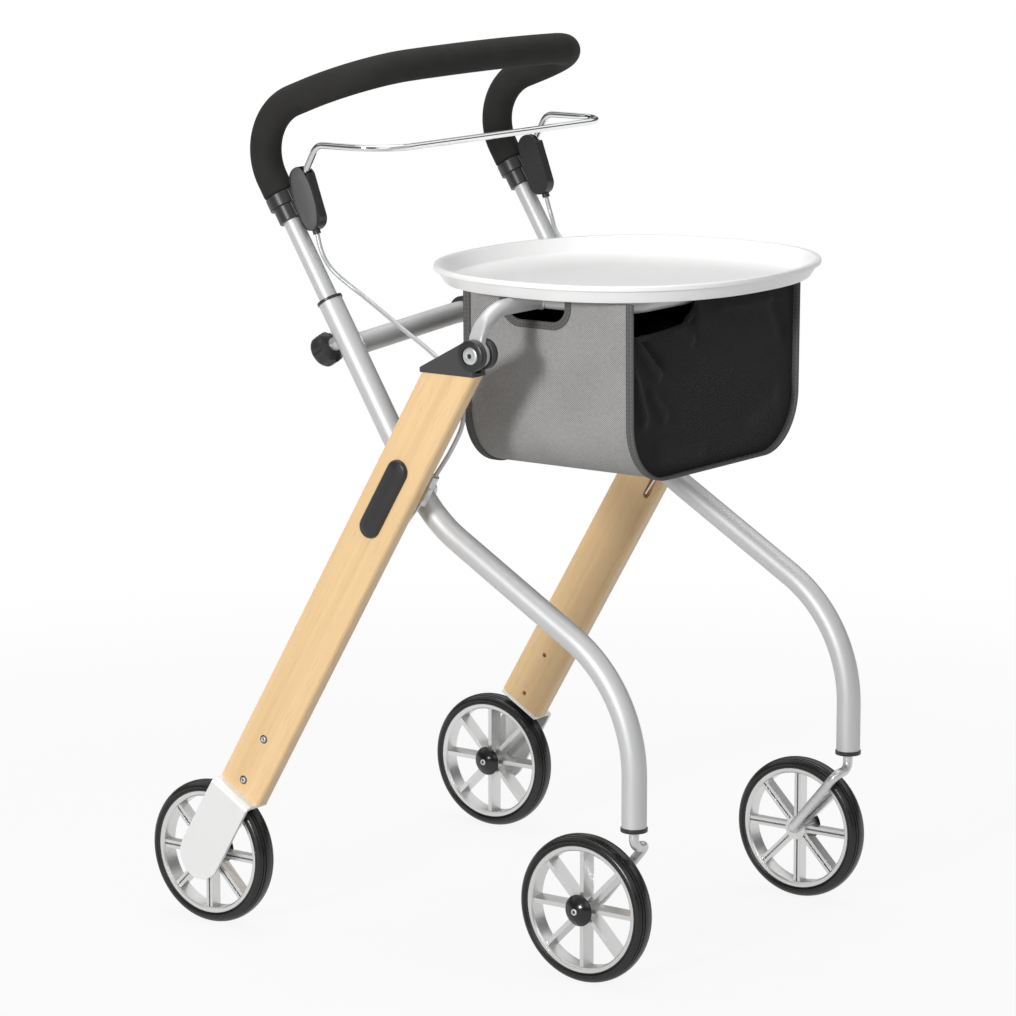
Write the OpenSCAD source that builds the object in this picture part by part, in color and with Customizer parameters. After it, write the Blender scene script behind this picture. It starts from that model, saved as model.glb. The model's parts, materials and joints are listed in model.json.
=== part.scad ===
// Indoor walker: two S-bent tubes with casters, two wooden rear legs that fold against them,
// a height-adjustable handle with a brake bar, a bag on a tube loop and a lift-off tray.
// Front is -Y, the user stands at +Y, and the right-hand side is -X. Sizes in millimetres.

/* [Wheels] */
// Outside diameter of every tyre
wheel_d = 150; // [140:1:160]
// Width of a tyre
tyre_w = 24; // [20:1:26]
// Diameter of the rim seat under the tyre
rim_d = 128; // [120:1:132]
// Axial width of the rim band
rim_w = 20; // [14:1:20]
// Radial thickness of the rim band
rim_t = 5; // [4:0.5:8]
// Number of spokes in a wheel
spoke_n = 8; // [5:1:10]
// Width of a spoke at its outer face
spoke_face_w = 4.5; // [3:0.5:6]
// Width of a spoke at its grooved inner face
spoke_back_w = 8; // [6.5:0.5:10]
// Depth of a spoke along the axle
spoke_depth = 15; // [10:1:18]
// Diameter of the hub barrel
hub_d = 24; // [20:1:30]
// Diameter of the axles and of the caster rods
axle_d = 10; // [8:0.5:11]
// Diameter of the round hub caps
cap_d = 32; // [26:1:36]
// Height of a hub cap
cap_h = 8; // [5:0.5:10]
// Distance of the caster axles behind their stems
caster_trail = 57; // [50:1:62]

/* [Frame tubes] */
// Diameter of the S-bent frame tubes
tube_d = 25; // [24:0.5:28]
// Wall of the frame tubes
tube_wall = 2; // [1.5:0.1:2.4]
// Distance between the planes of the two frame tubes
track = 394; // [380:1:420]
// Height of the lower tube ends above the floor
foot_z = 166; // [164:1:180]
// Straight length above the caster plug
lower_rise = 49; // [45:1:60]
// Bend radius of the frame tubes
bend_r = 150; // [140:1:160]
// Lean of the middle stretch from upright
mid_lean = 59.5; // [57:0.5:62]
// Straight length of the middle stretch
mid_len = 162; // [155:1:170]
// Lean of the top stretch from upright
top_lean = 31.7; // [30:0.1:34]
// Straight length of the top stretch
top_len = 206; // [202:1:214]
// Diameter of the crossbar
crossbar_d = 22; // [18:0.5:24]
// Distance of the crossbar and of the clamp knobs below the tube tops
clamp_drop = 39; // [34:1:44]

/* [Legs] */
// Lean of the wooden legs from upright
leg_lean = 30.5; // [29:0.5:32]
// Width of a leg across its side face
leg_w = 56; // [52:1:60]
// Thickness of a leg
leg_t = 20.4; // [19:0.2:22]
// Clear gap between a leg and its frame tube
leg_gap = 25; // [22:1:30]
// Rise of the level leg tops above the leg pivot
leg_rise = 131; // [126:1:136]
// Free space between the leg end and the tyre
leg_end_gap = 8.5; // [8:0.5:12]
// Thickness of the rear wheel brackets
bracket_t = 4; // [3:0.5:5]
// Width of the rear wheel brackets
bracket_w = 52; // [46:1:56]

/* [Handle] */
// Diameter of the handle tube
handle_d = 19; // [17:0.1:19.4]
// Length of handle tube pushed into the frame tubes
handle_insert = 140; // [120:1:145]
// Straight length from the frame tube tops to the handle bends
handle_rise = 140; // [132:1:160]
// Radius of the side bends of the handle
handle_side_r = 55; // [48:1:62]
// Angle of the handle arms above level
arm_lift_angle = 21; // [16:1:28]
// Straight length of the handle arms
arm_len = 20; // [10:1:40]
// Radius of the handle corners
handle_corner_r = 78; // [65:1:90]
// Bow of the front grip, each side of the middle
grip_bow = 5; // [3:0.5:8]
// Diameter of the foam grip
foam_d = 32; // [28:1:34]
// Distance of the foam ends above the frame tube tops
foam_start = 121; // [119:1:128]

/* [Brake] */
// Diameter of the brake bar
bar_d = 7; // [6:0.5:8]
// Length of a brake housing
housing_l = 66; // [62:1:70]
// Depth of a brake housing, front to back
housing_w = 25; // [24:0.5:28]
// Thickness of a brake housing
housing_t = 15; // [14.5:0.5:18]
// Distance of the housings above the frame tube tops
housing_up = 102; // [99:1:105]
// Distance of the housings in front of the handle tube axis
housing_fwd = 29; // [28:0.5:32]
// Length of the brake bar stems above their pivot
bar_stem = 33; // [30:1:40]
// Length of the brake bar arms
bar_arm = 33; // [24:1:42]
// Corner radius of the brake bar
bar_corner_r = 45; // [35:1:55]
// Diameter of the brake cables
cable_d = 5; // [4:0.5:6]

/* [Tray and bag] */
// Distance across the tray loop, middle to middle of the tube
loop_w = 276; // [266:1:286]
// Length of the tray loop, middle to middle of the tube
loop_l = 167; // [160:1:175]
// Corner radius of the tray loop
loop_r = 36; // [28:1:50]
// Diameter of the tray loop tube
loop_d = 16; // [14:0.5:18]
// Distance of the loop middle behind the caster stems
loop_back = 139; // [136:1:142]
// Width of the tray
tray_w = 406; // [390:1:420]
// Length of the tray
tray_l = 358; // [340:1:375]
// Height of the tray
tray_h = 18; // [14:0.5:22]
// Distance of the tray middle behind the caster stems
tray_back = 146; // [140:1:152]
// Squareness of the tray outline: 2 is an ellipse
tray_power = 2.3; // [2.1:0.1:3]
// Height of the bag
bag_h = 179; // [160:1:190]
// Width of the bag at the bottom
bag_bottom_w = 272; // [250:1:280]
// Radius of the bottom corners of the bag
bag_corner_r = 45; // [30:1:60]
// Thickness of the bag cloth with its padding
bag_wall = 2.5; // [2:0.1:4]

/* [Hidden] */
$fn = 64;
run_gap = 0.05;
clear_gap = 0.3;
cut_over = 1;
bend_lap = 0.5;
bend_thin = 0.05;
hull_fn = 32;
right_angle = 90;
flat_angle = 180;

silver = "silver";
white = [0.96, 0.96, 0.96];
black = [0.10, 0.10, 0.11];
dark_grey = [0.22, 0.22, 0.23];
cloth_grey = [0.45, 0.45, 0.45];
beech = [0.90, 0.76, 0.54];
steel = [0.75, 0.76, 0.78];
cable_grey = [0.72, 0.73, 0.74];

wheel_r = wheel_d / 2;
rim_r = rim_d / 2;
axle_r = axle_d / 2;
tube_r = tube_d / 2;
loop_tube_r = loop_d / 2;
handle_r = handle_d / 2;
crossbar_r = crossbar_d / 2;
side_x = track / 2;

// Side-view positions are [y, z], with y counted from the caster stems.
function along(lean) = [sin(lean), cos(lean)];
function forward_of(lean) = [-cos(lean), sin(lean)];
function lean_of(v) = atan2(v[0], v[1]);

mid_start = [bend_r * (1 - cos(mid_lean)), foot_z + lower_rise + bend_r * sin(mid_lean)];
upper_bend = mid_start + mid_len * along(mid_lean);
top_start = upper_bend + bend_r * [cos(top_lean) - cos(mid_lean), sin(mid_lean) - sin(top_lean)];
top_end = top_start + top_len * along(top_lean);

// The leg pivot lies on the frame tube, just below the top stretch.
pivot_drop = 6.5;
pivot = top_start - pivot_drop * along(top_lean);
leg_up = along(-leg_lean);
leg_rear = -forward_of(-leg_lean);
axle_reach = (pivot[1] - wheel_r) / cos(leg_lean);
leg_reach = axle_reach - wheel_r - leg_end_gap;
rear_axle = pivot - axle_reach * leg_up;
leg_top_z = pivot[1] + leg_rise;
leg_x = side_x + tube_r + leg_gap + leg_t / 2;

// The origin is below the middle of the whole walker's outline.
front_end = min(tray_back - tray_l / 2, caster_trail - wheel_r);
rear_end = rear_axle[0] + wheel_r;
stem_y = -(front_end + rear_end) / 2;
function placed(x, p) = [x, p[0] + stem_y, p[1]];

// Shared shapes

// A bent tube follows a table: each row is straight length, roll, bend angle and bend radius.
// The bends are a hair slimmer than the straights, which reach a little way into them.
module bent_run(rows, r, i = 0) {
    if (i < len(rows)) {
        row = rows[i];
        before = i > 0 ? bend_lap : 0;
        after = row[2] > 0 ? bend_lap : 0;
        translate([0, 0, -before]) cylinder(h = row[0] + before + after, r = r);
        translate([0, 0, row[0]]) rotate([0, 0, row[1]])
            if (row[2] > 0) {
                translate([row[3], 0, 0]) rotate([90, 0, 180])
                    rotate_extrude(angle = row[2]) translate([row[3], 0]) circle(r = r - bend_thin);
                translate([row[3], 0, 0]) rotate([0, row[2], 0]) translate([-row[3], 0, 0])
                    bent_run(rows, r, i + 1);
            }
    }
}

function run_through(rows) =
    let (n = len(rows) - 1)
    [for (i = [0 : n]) [rows[i][0] + (i == 0 || i == n ? cut_over : 0), rows[i][1], rows[i][2], rows[i][3]]];

module bored_run(rows, r, bore_r) {
    difference() {
        bent_run(rows, r);
        translate([0, 0, -cut_over]) bent_run(run_through(rows), bore_r);
    }
}

module left_side() {
    mirror([1, 0, 0]) children();
}

module both_sides() {
    children();
    left_side() children();
}

module across(x0, x1, p, r) {
    translate(placed(x0, p)) rotate([0, 90, 0]) cylinder(h = x1 - x0, r = r);
}

// Flat shapes drawn in the side view [y, z] get a thickness along x.
module side_plate(x0, x1) {
    translate([x0, stem_y, 0]) rotate([90, 0, 90]) linear_extrude(height = x1 - x0) children();
}

module stadium(length, width) {
    square([length - width, width], center = true);
    for (end = [-1, 1]) translate([end * (length - width) / 2, 0]) circle(d = width);
}

module rounded_square(size, r) {
    square([size[0] - 2 * r, size[1]], center = true);
    square([size[0], size[1] - 2 * r], center = true);
    for (sx = [-1, 1], sy = [-1, 1])
        translate([sx * (size[0] / 2 - r), sy * (size[1] / 2 - r)]) circle(r = r);
}

function arc_points(c, r, a0, a1, n) = [
    for (i = [0 : n]) c + r * [cos(a0 + (a1 - a0) * i / n), sin(a0 + (a1 - a0) * i / n)]
];

// A closed solid through rings of points, each ring with the same count.
module lofted(rings) {
    n = len(rings);
    k = len(rings[0]);
    polyhedron(
        points = [for (ring = rings) each ring],
        faces = concat(
            [[for (j = [0 : k - 1]) j]],
            [for (i = [0 : n - 2], j = [0 : k - 1]) each [
                [i * k + j, (i + 1) * k + j, (i + 1) * k + (j + 1) % k],
                [i * k + j, (i + 1) * k + (j + 1) % k, i * k + (j + 1) % k]
            ]],
            [[for (j = [k - 1 : -1 : 0]) (n - 1) * k + j]]
        )
    );
}

// Frame

tube_rows = [
    [lower_rise, right_angle, mid_lean, bend_r],
    [mid_len, flat_angle, mid_lean - top_lean, bend_r],
    [top_len, 0, 0, 0]
];
pivot_bolt_d = 10;
pivot_head_d = 18;
pivot_head_h = 5;
spacer_d = 22;
collar_rim = 1;
collar_h = 3;
collar_spigot = 22;
plug_h = 4.5;
plug_spigot = 36;
stem_len = 30;
nut_d = 14;
nut_h = 7;
stud_d = 8;
clamp_point = top_end - clamp_drop * along(top_lean);

// The crossbar rises from each tube to a level middle.
crossbar_drop = 11.4;
crossbar_lift_angle = 4.6;
crossbar_flat = 36;
crossbar_bend_r = 150;
crossbar_end = clamp_point - crossbar_drop * along(top_lean);
crossbar_arm = (side_x - crossbar_flat / 2 - crossbar_bend_r * sin(crossbar_lift_angle))
    / cos(crossbar_lift_angle);
crossbar_rise = crossbar_arm * sin(crossbar_lift_angle) + crossbar_bend_r * (1 - cos(crossbar_lift_angle));
crossbar_point = crossbar_end + [0, crossbar_rise];
crossbar_rows = [
    [crossbar_arm, 0, crossbar_lift_angle, crossbar_bend_r],
    [crossbar_flat, 0, crossbar_lift_angle, crossbar_bend_r],
    [crossbar_arm, 0, 0, 0]
];
pivot_in_x = side_x - tube_r;
pivot_out_x = leg_x + leg_t / 2 - cut_over;

module at_tube_top(x) {
    translate(placed(x, top_end)) rotate([-top_lean, 0, 0]) children();
}

// The clamp axis points back and down, square to the frame tube.
module at_clamp(x) {
    translate(placed(x, clamp_point)) rotate([-top_lean, 0, 0]) rotate([-90, 0, 0]) children();
}

module top_stretch(x, r) {
    at_tube_top(x) translate([0, 0, -top_len]) cylinder(h = top_len, r = r);
}

module frame_tube() {
    color(silver) difference() {
        translate([-side_x, stem_y, foot_z]) bored_run(tube_rows, tube_r, tube_r - tube_wall);
        across(-side_x - tube_d, -side_x + tube_d, pivot, pivot_bolt_d / 2 + run_gap);
        at_clamp(-side_x) cylinder(h = tube_d, r = stud_d / 2 + clear_gap);
    }
}

module right_frame_tube() { frame_tube(); }
module left_frame_tube() { left_side() frame_tube(); }

module crossbar() {
    color(silver) difference() {
        translate(placed(-side_x, crossbar_end)) rotate([0, right_angle - crossbar_lift_angle, 0])
            bent_run(crossbar_rows, crossbar_r);
        for (side = [-1, 1]) top_stretch(side * side_x, tube_r + run_gap);
    }
}

module tube_collars() {
    spigot_r = tube_r - tube_wall - run_gap;
    color(black) for (side = [-1, 1]) at_tube_top(side * side_x) difference() {
        union() {
            cylinder(h = collar_h, r = tube_r + collar_rim);
            translate([0, 0, -collar_spigot]) cylinder(h = collar_spigot + collar_h, r = spigot_r);
        }
        translate([0, 0, -collar_spigot - cut_over])
            cylinder(h = collar_spigot + collar_h + 2 * cut_over, r = handle_r + run_gap);
    }
}

module clamp_nuts() {
    nut_end = tube_r + nut_h;
    color(steel) for (side = [-1, 1]) difference() {
        at_clamp(side * side_x) difference() {
            cylinder(h = nut_end, r = nut_d / 2);
            translate([0, 0, -cut_over]) cylinder(h = nut_end + 2 * cut_over, r = stud_d / 2 + run_gap);
        }
        top_stretch(side * side_x, tube_r + run_gap);
    }
}

module pivot_bolts() {
    color(steel) both_sides() {
        across(-pivot_out_x, -pivot_in_x + pivot_head_h, pivot, pivot_bolt_d / 2);
        across(-pivot_in_x + run_gap, -pivot_in_x + pivot_head_h, pivot, pivot_head_d / 2);
    }
}

module pivot_spacers() {
    color(black) both_sides() difference() {
        across(-leg_x + leg_t / 2 + clear_gap, -side_x, pivot, spacer_d / 2);
        across(-leg_x, -side_x + tube_d, pivot, pivot_bolt_d / 2 + run_gap);
        translate([-side_x, stem_y, foot_z]) bent_run(tube_rows, tube_r + run_gap);
    }
}

module stem_plugs() {
    color(black) for (side = [-1, 1]) translate([side * side_x, stem_y, foot_z - plug_h]) difference() {
        union() {
            cylinder(h = plug_h, r = tube_r + collar_rim);
            cylinder(h = plug_h + plug_spigot, r = tube_r - tube_wall - run_gap);
        }
        translate([0, 0, -cut_over]) cylinder(h = plug_h + stem_len + 2 * cut_over, r = axle_r + run_gap);
    }
}

// Handle

handle_turn = right_angle + top_lean - arm_lift_angle;
corner_turn = right_angle - grip_bow;
bow_land = 4;
bow_half = side_x - handle_corner_r * (1 - cos(corner_turn)) - bow_land * cos(grip_bow);
bow_r = bow_half / sin(grip_bow);
function handle_rows(first) = [
    [first, -right_angle, handle_turn, handle_side_r],
    [arm_len, right_angle, corner_turn, handle_corner_r],
    [bow_land, 0, 2 * grip_bow, bow_r],
    [bow_land, 0, corner_turn, handle_corner_r],
    [arm_len, -right_angle, handle_turn, handle_side_r],
    [first, 0, 0, 0]
];
handle_wall = 1.5;
sleeve_start = 92;
sleeve_wall = 3.5;
cup_h = 13;

module handle_tube() {
    color(silver) at_tube_top(-side_x) translate([0, 0, -handle_insert])
        bored_run(handle_rows(handle_insert + handle_rise), handle_r, handle_r - handle_wall);
}

module grip_foam() {
    color(black) at_tube_top(-side_x) translate([0, 0, foam_start])
        bored_run(handle_rows(handle_rise - foam_start), foam_d / 2, handle_r + run_gap);
}

// Brake

housing_lean = 20;
housing_wall = 3;
cover_t = 3;
cover_inset = 1.5;
gland_h = 4;
gland_wall = 1.5;
trunnion_d = 6;
trunnion_in = 2;
bar_pivot_up = 19;
bar_hub_d = 17;
bar_lean = 27.8;
bar_bend_r = 14;
bar_swing = 20;
bar_ease = 1.5;
lug_t = 10;
housing_mid = top_end + housing_up * along(top_lean) + housing_fwd * forward_of(top_lean);
bar_pivot = housing_mid + bar_pivot_up * along(housing_lean);
housing_end = housing_l / 2 + gland_h;
pocket_t = housing_t - cover_t - housing_wall;

// Housing axes: z along the oval, y to the back, and x across, with the cover on the outer side.
module at_housing() {
    translate(placed(-side_x, housing_mid)) rotate([-housing_lean, 0, 0]) children();
}

module oval(x0, x1, inset) {
    translate([x0, 0, 0]) rotate([90, 0, 90]) linear_extrude(height = x1 - x0)
        rotate(90) stadium(housing_l - 2 * inset, housing_w - 2 * inset);
}

module at_bar_pivot(x) {
    translate(placed(x, bar_pivot)) rotate([bar_lean, 0, 0]) children();
}

module bar_slot() {
    half = bar_d / 2 + bar_ease;
    reach = housing_l / 2;
    raised = bar_lean - bar_swing;
    front = bar_pivot + half * [-cos(bar_lean), -sin(bar_lean)];
    rear = bar_pivot + half * [cos(raised), sin(raised)];
    side_plate(-side_x - bar_d / 2 - bar_ease, -side_x + bar_d / 2 + bar_ease)
        polygon([front, front + reach * along(-bar_lean), rear + reach * along(-raised), rear]);
}

module clamp_sleeves() {
    sleeve_l = foam_start - sleeve_start;
    color(black) both_sides() difference() {
        union() {
            at_tube_top(-side_x) translate([0, 0, sleeve_start]) {
                cylinder(h = sleeve_l, r = handle_r + sleeve_wall);
                translate([0, 0, sleeve_l - cup_h]) cylinder(h = cup_h, r = foam_d / 2);
                translate([-lug_t / 2, -housing_fwd, 0]) cube([lug_t, housing_fwd, sleeve_l]);
            }
        }
        at_tube_top(-side_x) translate([0, 0, sleeve_start - cut_over])
            cylinder(h = sleeve_l + 2 * cut_over, r = handle_r + run_gap);
        at_housing() oval(-housing_t, housing_t, -run_gap);
    }
}

module brake_housing() {
    inner_x = housing_t / 2;
    outer_x = -housing_t / 2 + cover_t;
    color(black) difference() {
        union() {
            at_housing() oval(outer_x, inner_x, 0);
            at_housing() translate([0, 0, -housing_end])
                cylinder(h = housing_w / 2, r = cable_d / 2 + gland_wall);
        }
        at_housing() oval(outer_x - cut_over, inner_x - housing_wall, housing_wall);
        across(-side_x, -side_x + inner_x - housing_wall + trunnion_in + clear_gap, bar_pivot,
            trunnion_d / 2 + run_gap);
        bar_slot();
    }
}

module housing_cover() {
    color(dark_grey) difference() {
        at_housing() oval(-housing_t / 2, -housing_t / 2 + cover_t, cover_inset);
        across(-side_x - housing_t / 2 + cover_t - trunnion_in - clear_gap, -side_x, bar_pivot,
            trunnion_d / 2 + run_gap);
    }
}

module right_brake_housing() { brake_housing(); }
module left_brake_housing() { left_side() brake_housing(); }
module right_housing_cover() { housing_cover(); }
module left_housing_cover() { left_side() housing_cover(); }

bar_rows = [
    [bar_stem, -right_angle, right_angle - bar_lean, bar_bend_r],
    [bar_arm, right_angle, right_angle, bar_corner_r],
    [track - 2 * bar_corner_r, 0, right_angle, bar_corner_r],
    [bar_arm, -right_angle, right_angle - bar_lean, bar_bend_r],
    [bar_stem, 0, 0, 0]
];

module brake_bar() {
    hub_out = -side_x - housing_t / 2 + cover_t;
    hub_in = hub_out + pocket_t;
    color(silver) {
        at_bar_pivot(-side_x) bent_run(bar_rows, bar_d / 2);
        both_sides() {
            across(hub_out + clear_gap, hub_in - clear_gap, bar_pivot, bar_hub_d / 2);
            across(hub_out - trunnion_in, hub_in + trunnion_in, bar_pivot, trunnion_d / 2);
        }
    }
}

// Clamp knobs

knob_d = 33;
knob_neck_d = 20;
knob_h = 19;
knob_round = 4;
knob_grips = 10;
knob_grip_d = 6;
knob_start = tube_r + nut_h + clear_gap;

module clamp_knob() {
    color(black) at_clamp(-side_x) {
        translate([0, 0, handle_r + clear_gap])
            cylinder(h = knob_start + knob_h / 2 - handle_r - clear_gap, r = stud_d / 2);
        translate([0, 0, knob_start]) difference() {
            rotate_extrude() polygon(concat(
                [[0, 0], [knob_neck_d / 2, 0], [knob_d / 2, knob_round]],
                arc_points([knob_d / 2 - knob_round, knob_h - knob_round], knob_round, 0, 90, 4),
                [[0, knob_h]]
            ));
            for (i = [1 : knob_grips]) rotate([0, 0, i * 360 / knob_grips])
                translate([knob_d / 2 + knob_grip_d / 4, 0, -cut_over])
                cylinder(h = knob_h + 2 * cut_over, r = knob_grip_d / 2);
        }
    }
}

module right_clamp_knob() { clamp_knob(); }
module left_clamp_knob() { left_side() clamp_knob(); }

// Legs

leg_edge_r = 6;
leg_crown_r = 260;
hinge_up = 185.7;
hinge_fwd = 15.2;
hinge_bolt_d = 8;
hinge_head_d = 16;
hinge_head_h = 2.5;
boss_r = 15.5;
cheek_slot = 9;
slot_ease = 2;
slot_r = boss_r + slot_ease;
hinge_over = 0.8;
hinge_w = leg_t + 2 * hinge_over;
hinge_lip = 5;
pivot_cover_l = 92;
pivot_cover_w = 24;
pivot_cover_h = 6;
pivot_cover_round = 3;
screw_d = 5;
screw_head_d = 9;
screw_head_h = 1;
screw_rises = [14, 68];
tab_w = 33;
tab_l = 80;
tab_front = -9;
bracket_gap = 7;
bracket_bend_r = 7;
plunger_fwd = 17;
plunger_d = 10;
plunger_l = 40;
plunger_out = 2.5;
pocket_w = 8;
pocket_l = 30;
pocket_deep = 9;
pocket_drop = 61;
cable_fwd = 25;
cable_off = 6.5;
hinge = pivot + hinge_up * leg_up - hinge_fwd * leg_rear;
plate_in = tyre_w / 2 + bracket_gap;
plate_out = plate_in + bracket_t;

// Leg axes: z up the leg from its pivot, y to the back, and x across with the outer face at -x.
module at_leg() {
    translate(placed(-leg_x, pivot)) rotate([leg_lean, 0, 0]) children();
}

module leg_section() {
    intersection() {
        rounded_square([leg_t, leg_w], leg_edge_r);
        translate([leg_crown_r - leg_t / 2, 0]) circle(r = leg_crown_r, $fn = 8 * $fn);
    }
}

module leg() {
    color(beech) difference() {
        at_leg() translate([0, 0, -leg_reach])
            linear_extrude(height = leg_reach + leg_rise / cos(leg_lean) + leg_w) leg_section();
        translate(placed(-leg_x - leg_t, [pivot[0] - leg_rise * tan(leg_lean) - 2 * leg_w, leg_top_z]))
            cube([2 * leg_t, 4 * leg_w, 2 * leg_w]);
        across(-leg_x - leg_t, -leg_x + leg_t, pivot, pivot_bolt_d / 2 + run_gap);
        at_leg() {
            translate([leg_t / 2 - pocket_deep, -plunger_fwd, -pocket_drop]) rotate([90, 0, 90])
                linear_extrude(height = leg_t) rotate(90) stadium(pocket_l, pocket_w);
            translate([-bracket_t / 2 - run_gap, tab_front - run_gap, -leg_reach - cut_over])
                cube([bracket_t + 2 * run_gap, tab_w + 2 * run_gap, tab_l + cut_over + run_gap]);
            translate([0, -plunger_fwd, -leg_reach - cut_over])
                cylinder(h = plunger_l + 2 * cut_over, r = plunger_d / 2 + run_gap);
            for (rise = screw_rises) translate([-leg_t, 0, rise - leg_reach]) rotate([0, 90, 0])
                cylinder(h = 2 * leg_t, r = screw_d / 2 + run_gap);
        }
    }
}

module right_leg() { leg(); }
module left_leg() { left_side() leg(); }

function tangent_point(q, c, r) =
    let (v = c - q, d = norm(v), a = atan2(v[1], v[0]) - asin(r / d))
    q + sqrt(d * d - r * r) * [cos(a), sin(a)];

module hinge_cap() {
    middle = pivot[0] - leg_rise * tan(leg_lean);
    half = leg_w / 2 / cos(leg_lean);
    rear_lip = [middle + half, leg_top_z + hinge_lip];
    color(black) difference() {
        side_plate(-leg_x - hinge_w / 2, -leg_x + hinge_w / 2) {
            translate(hinge) circle(r = boss_r);
            polygon([
                [middle + half, leg_top_z], rear_lip, tangent_point(rear_lip, hinge, boss_r),
                hinge, [middle - half, leg_top_z]
            ]);
        }
        across(-leg_x - cheek_slot / 2, -leg_x + cheek_slot / 2, hinge, slot_r);
        across(-leg_x - leg_t, -leg_x + leg_t, hinge, hinge_bolt_d / 2 + run_gap);
    }
}

module right_hinge_cap() { hinge_cap(); }
module left_hinge_cap() { left_side() hinge_cap(); }

module hinge_bolt() {
    half = hinge_w / 2;
    color(steel) {
        across(-leg_x - half - hinge_head_h, -leg_x + half + hinge_head_h, hinge, hinge_bolt_d / 2);
        across(-leg_x - half - hinge_head_h, -leg_x - half, hinge, hinge_head_d / 2);
        across(-leg_x + half, -leg_x + half + hinge_head_h, hinge, hinge_head_d / 2);
    }
}

module right_hinge_bolt() { hinge_bolt(); }
module left_hinge_bolt() { left_side() hinge_bolt(); }

module pivot_cover() {
    color(black) at_leg() translate([-leg_t / 2 - pivot_cover_h, 0, 0]) rotate([90, 0, 90]) {
        translate([0, 0, pivot_cover_round]) linear_extrude(height = pivot_cover_h - pivot_cover_round)
            rotate(90) stadium(pivot_cover_l, pivot_cover_w);
        linear_extrude(height = pivot_cover_h)
            rotate(90) stadium(pivot_cover_l - 2 * pivot_cover_round, pivot_cover_w - 2 * pivot_cover_round);
    }
}

module right_pivot_cover() { pivot_cover(); }
module left_pivot_cover() { left_side() pivot_cover(); }

// One bent sheet: a flange under the leg end and a tongue down to the axle.
module bracket_section() {
    flange_z = -leg_reach - bracket_t;
    corner = [-plate_out + bracket_bend_r, -leg_reach - bracket_bend_r];
    translate([corner[0], flange_z]) square([-corner[0] + leg_t / 2, bracket_t]);
    translate([-plate_out, -axle_reach - bracket_w]) square([bracket_t, axle_reach + bracket_w + corner[1]]);
    translate(corner) intersection() {
        difference() {
            circle(r = bracket_bend_r);
            circle(r = bracket_bend_r - bracket_t);
        }
        translate([-bracket_bend_r, 0]) square([bracket_bend_r, bracket_bend_r]);
    }
}

module wheel_bracket() {
    color(silver) at_leg() difference() {
        union() {
            intersection() {
                translate([0, bracket_w / 2, 0]) rotate([90, 0, 0])
                    linear_extrude(height = bracket_w) bracket_section();
                translate([-leg_w, 0, -axle_reach]) rotate([90, 0, 90])
                    linear_extrude(height = 2 * leg_w) {
                        circle(r = bracket_w / 2);
                        translate([-bracket_w / 2, 0]) square([bracket_w, axle_reach]);
                    }
            }
            translate([-bracket_t / 2, tab_front, -leg_reach - bracket_t])
                cube([bracket_t, tab_w, tab_l + bracket_t]);
        }
        translate([0, -plunger_fwd, -leg_reach - bracket_t - cut_over])
            cylinder(h = bracket_t + 2 * cut_over, r = plunger_d / 2 + clear_gap);
        for (rise = screw_rises) translate([-leg_t, 0, rise - leg_reach]) rotate([0, 90, 0])
            cylinder(h = 2 * leg_t, r = screw_d / 2 + run_gap);
    }
}

module right_wheel_bracket() { wheel_bracket(); }
module left_wheel_bracket() { left_side() wheel_bracket(); }

module leg_screws() {
    color(steel) at_leg() for (rise = screw_rises)
        translate([-leg_t / 2 - screw_head_h, 0, rise - leg_reach]) rotate([0, 90, 0]) {
            cylinder(h = screw_head_h, r = screw_head_d / 2);
            cylinder(h = leg_t - leg_edge_r + screw_head_h, r = screw_d / 2);
        }
}

module right_leg_screws() { leg_screws(); }
module left_leg_screws() { left_side() leg_screws(); }

module brake_plunger() {
    color(black) at_leg() translate([0, -plunger_fwd, -leg_reach - bracket_t - plunger_out])
        cylinder(h = plunger_l - plunger_d, r = plunger_d / 2);
}

module right_brake_plunger() { brake_plunger(); }
module left_brake_plunger() { left_side() brake_plunger(); }

// Wheels, drawn with the axle along z and the capped side up.

hub_open = 11.5;
hub_capped = 13;
tyre_crown = 7;
tyre_steps = 12;
groove_w = 1.2;
groove_deep = 1;
groove_off = 4.5;
spoke_groove_w = 1.8;
spoke_groove_deep = 6;
rim_lip = 1.5;
axle_short = 1;
axle_shoulder_d = 16;

module rim() {
    band_r = rim_r - rim_t;
    color(silver) difference() {
        union() {
            rotate_extrude() polygon([
                [band_r, -rim_w / 2 + rim_lip], [band_r + rim_lip, -rim_w / 2], [rim_r, -rim_w / 2],
                [rim_r, rim_w / 2], [band_r + rim_lip, rim_w / 2], [band_r, rim_w / 2 - rim_lip]
            ]);
            translate([0, 0, -hub_open]) cylinder(h = hub_open + hub_capped, r = hub_d / 2);
            for (i = [1 : spoke_n]) rotate([0, 0, i * 360 / spoke_n]) rotate([90, 0, 90])
                linear_extrude(height = band_r + rim_t / 2) polygon([
                    [-spoke_back_w / 2, -spoke_depth / 2],
                    [-spoke_groove_w / 2, -spoke_depth / 2],
                    [-spoke_groove_w / 2, -spoke_depth / 2 + spoke_groove_deep],
                    [spoke_groove_w / 2, -spoke_depth / 2 + spoke_groove_deep],
                    [spoke_groove_w / 2, -spoke_depth / 2],
                    [spoke_back_w / 2, -spoke_depth / 2],
                    [spoke_face_w / 2, spoke_depth / 2],
                    [-spoke_face_w / 2, spoke_depth / 2]
                ]);
        }
        translate([0, 0, -hub_open - cut_over])
            cylinder(h = hub_open + hub_capped + 2 * cut_over, r = axle_r + run_gap);
    }
}

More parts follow.
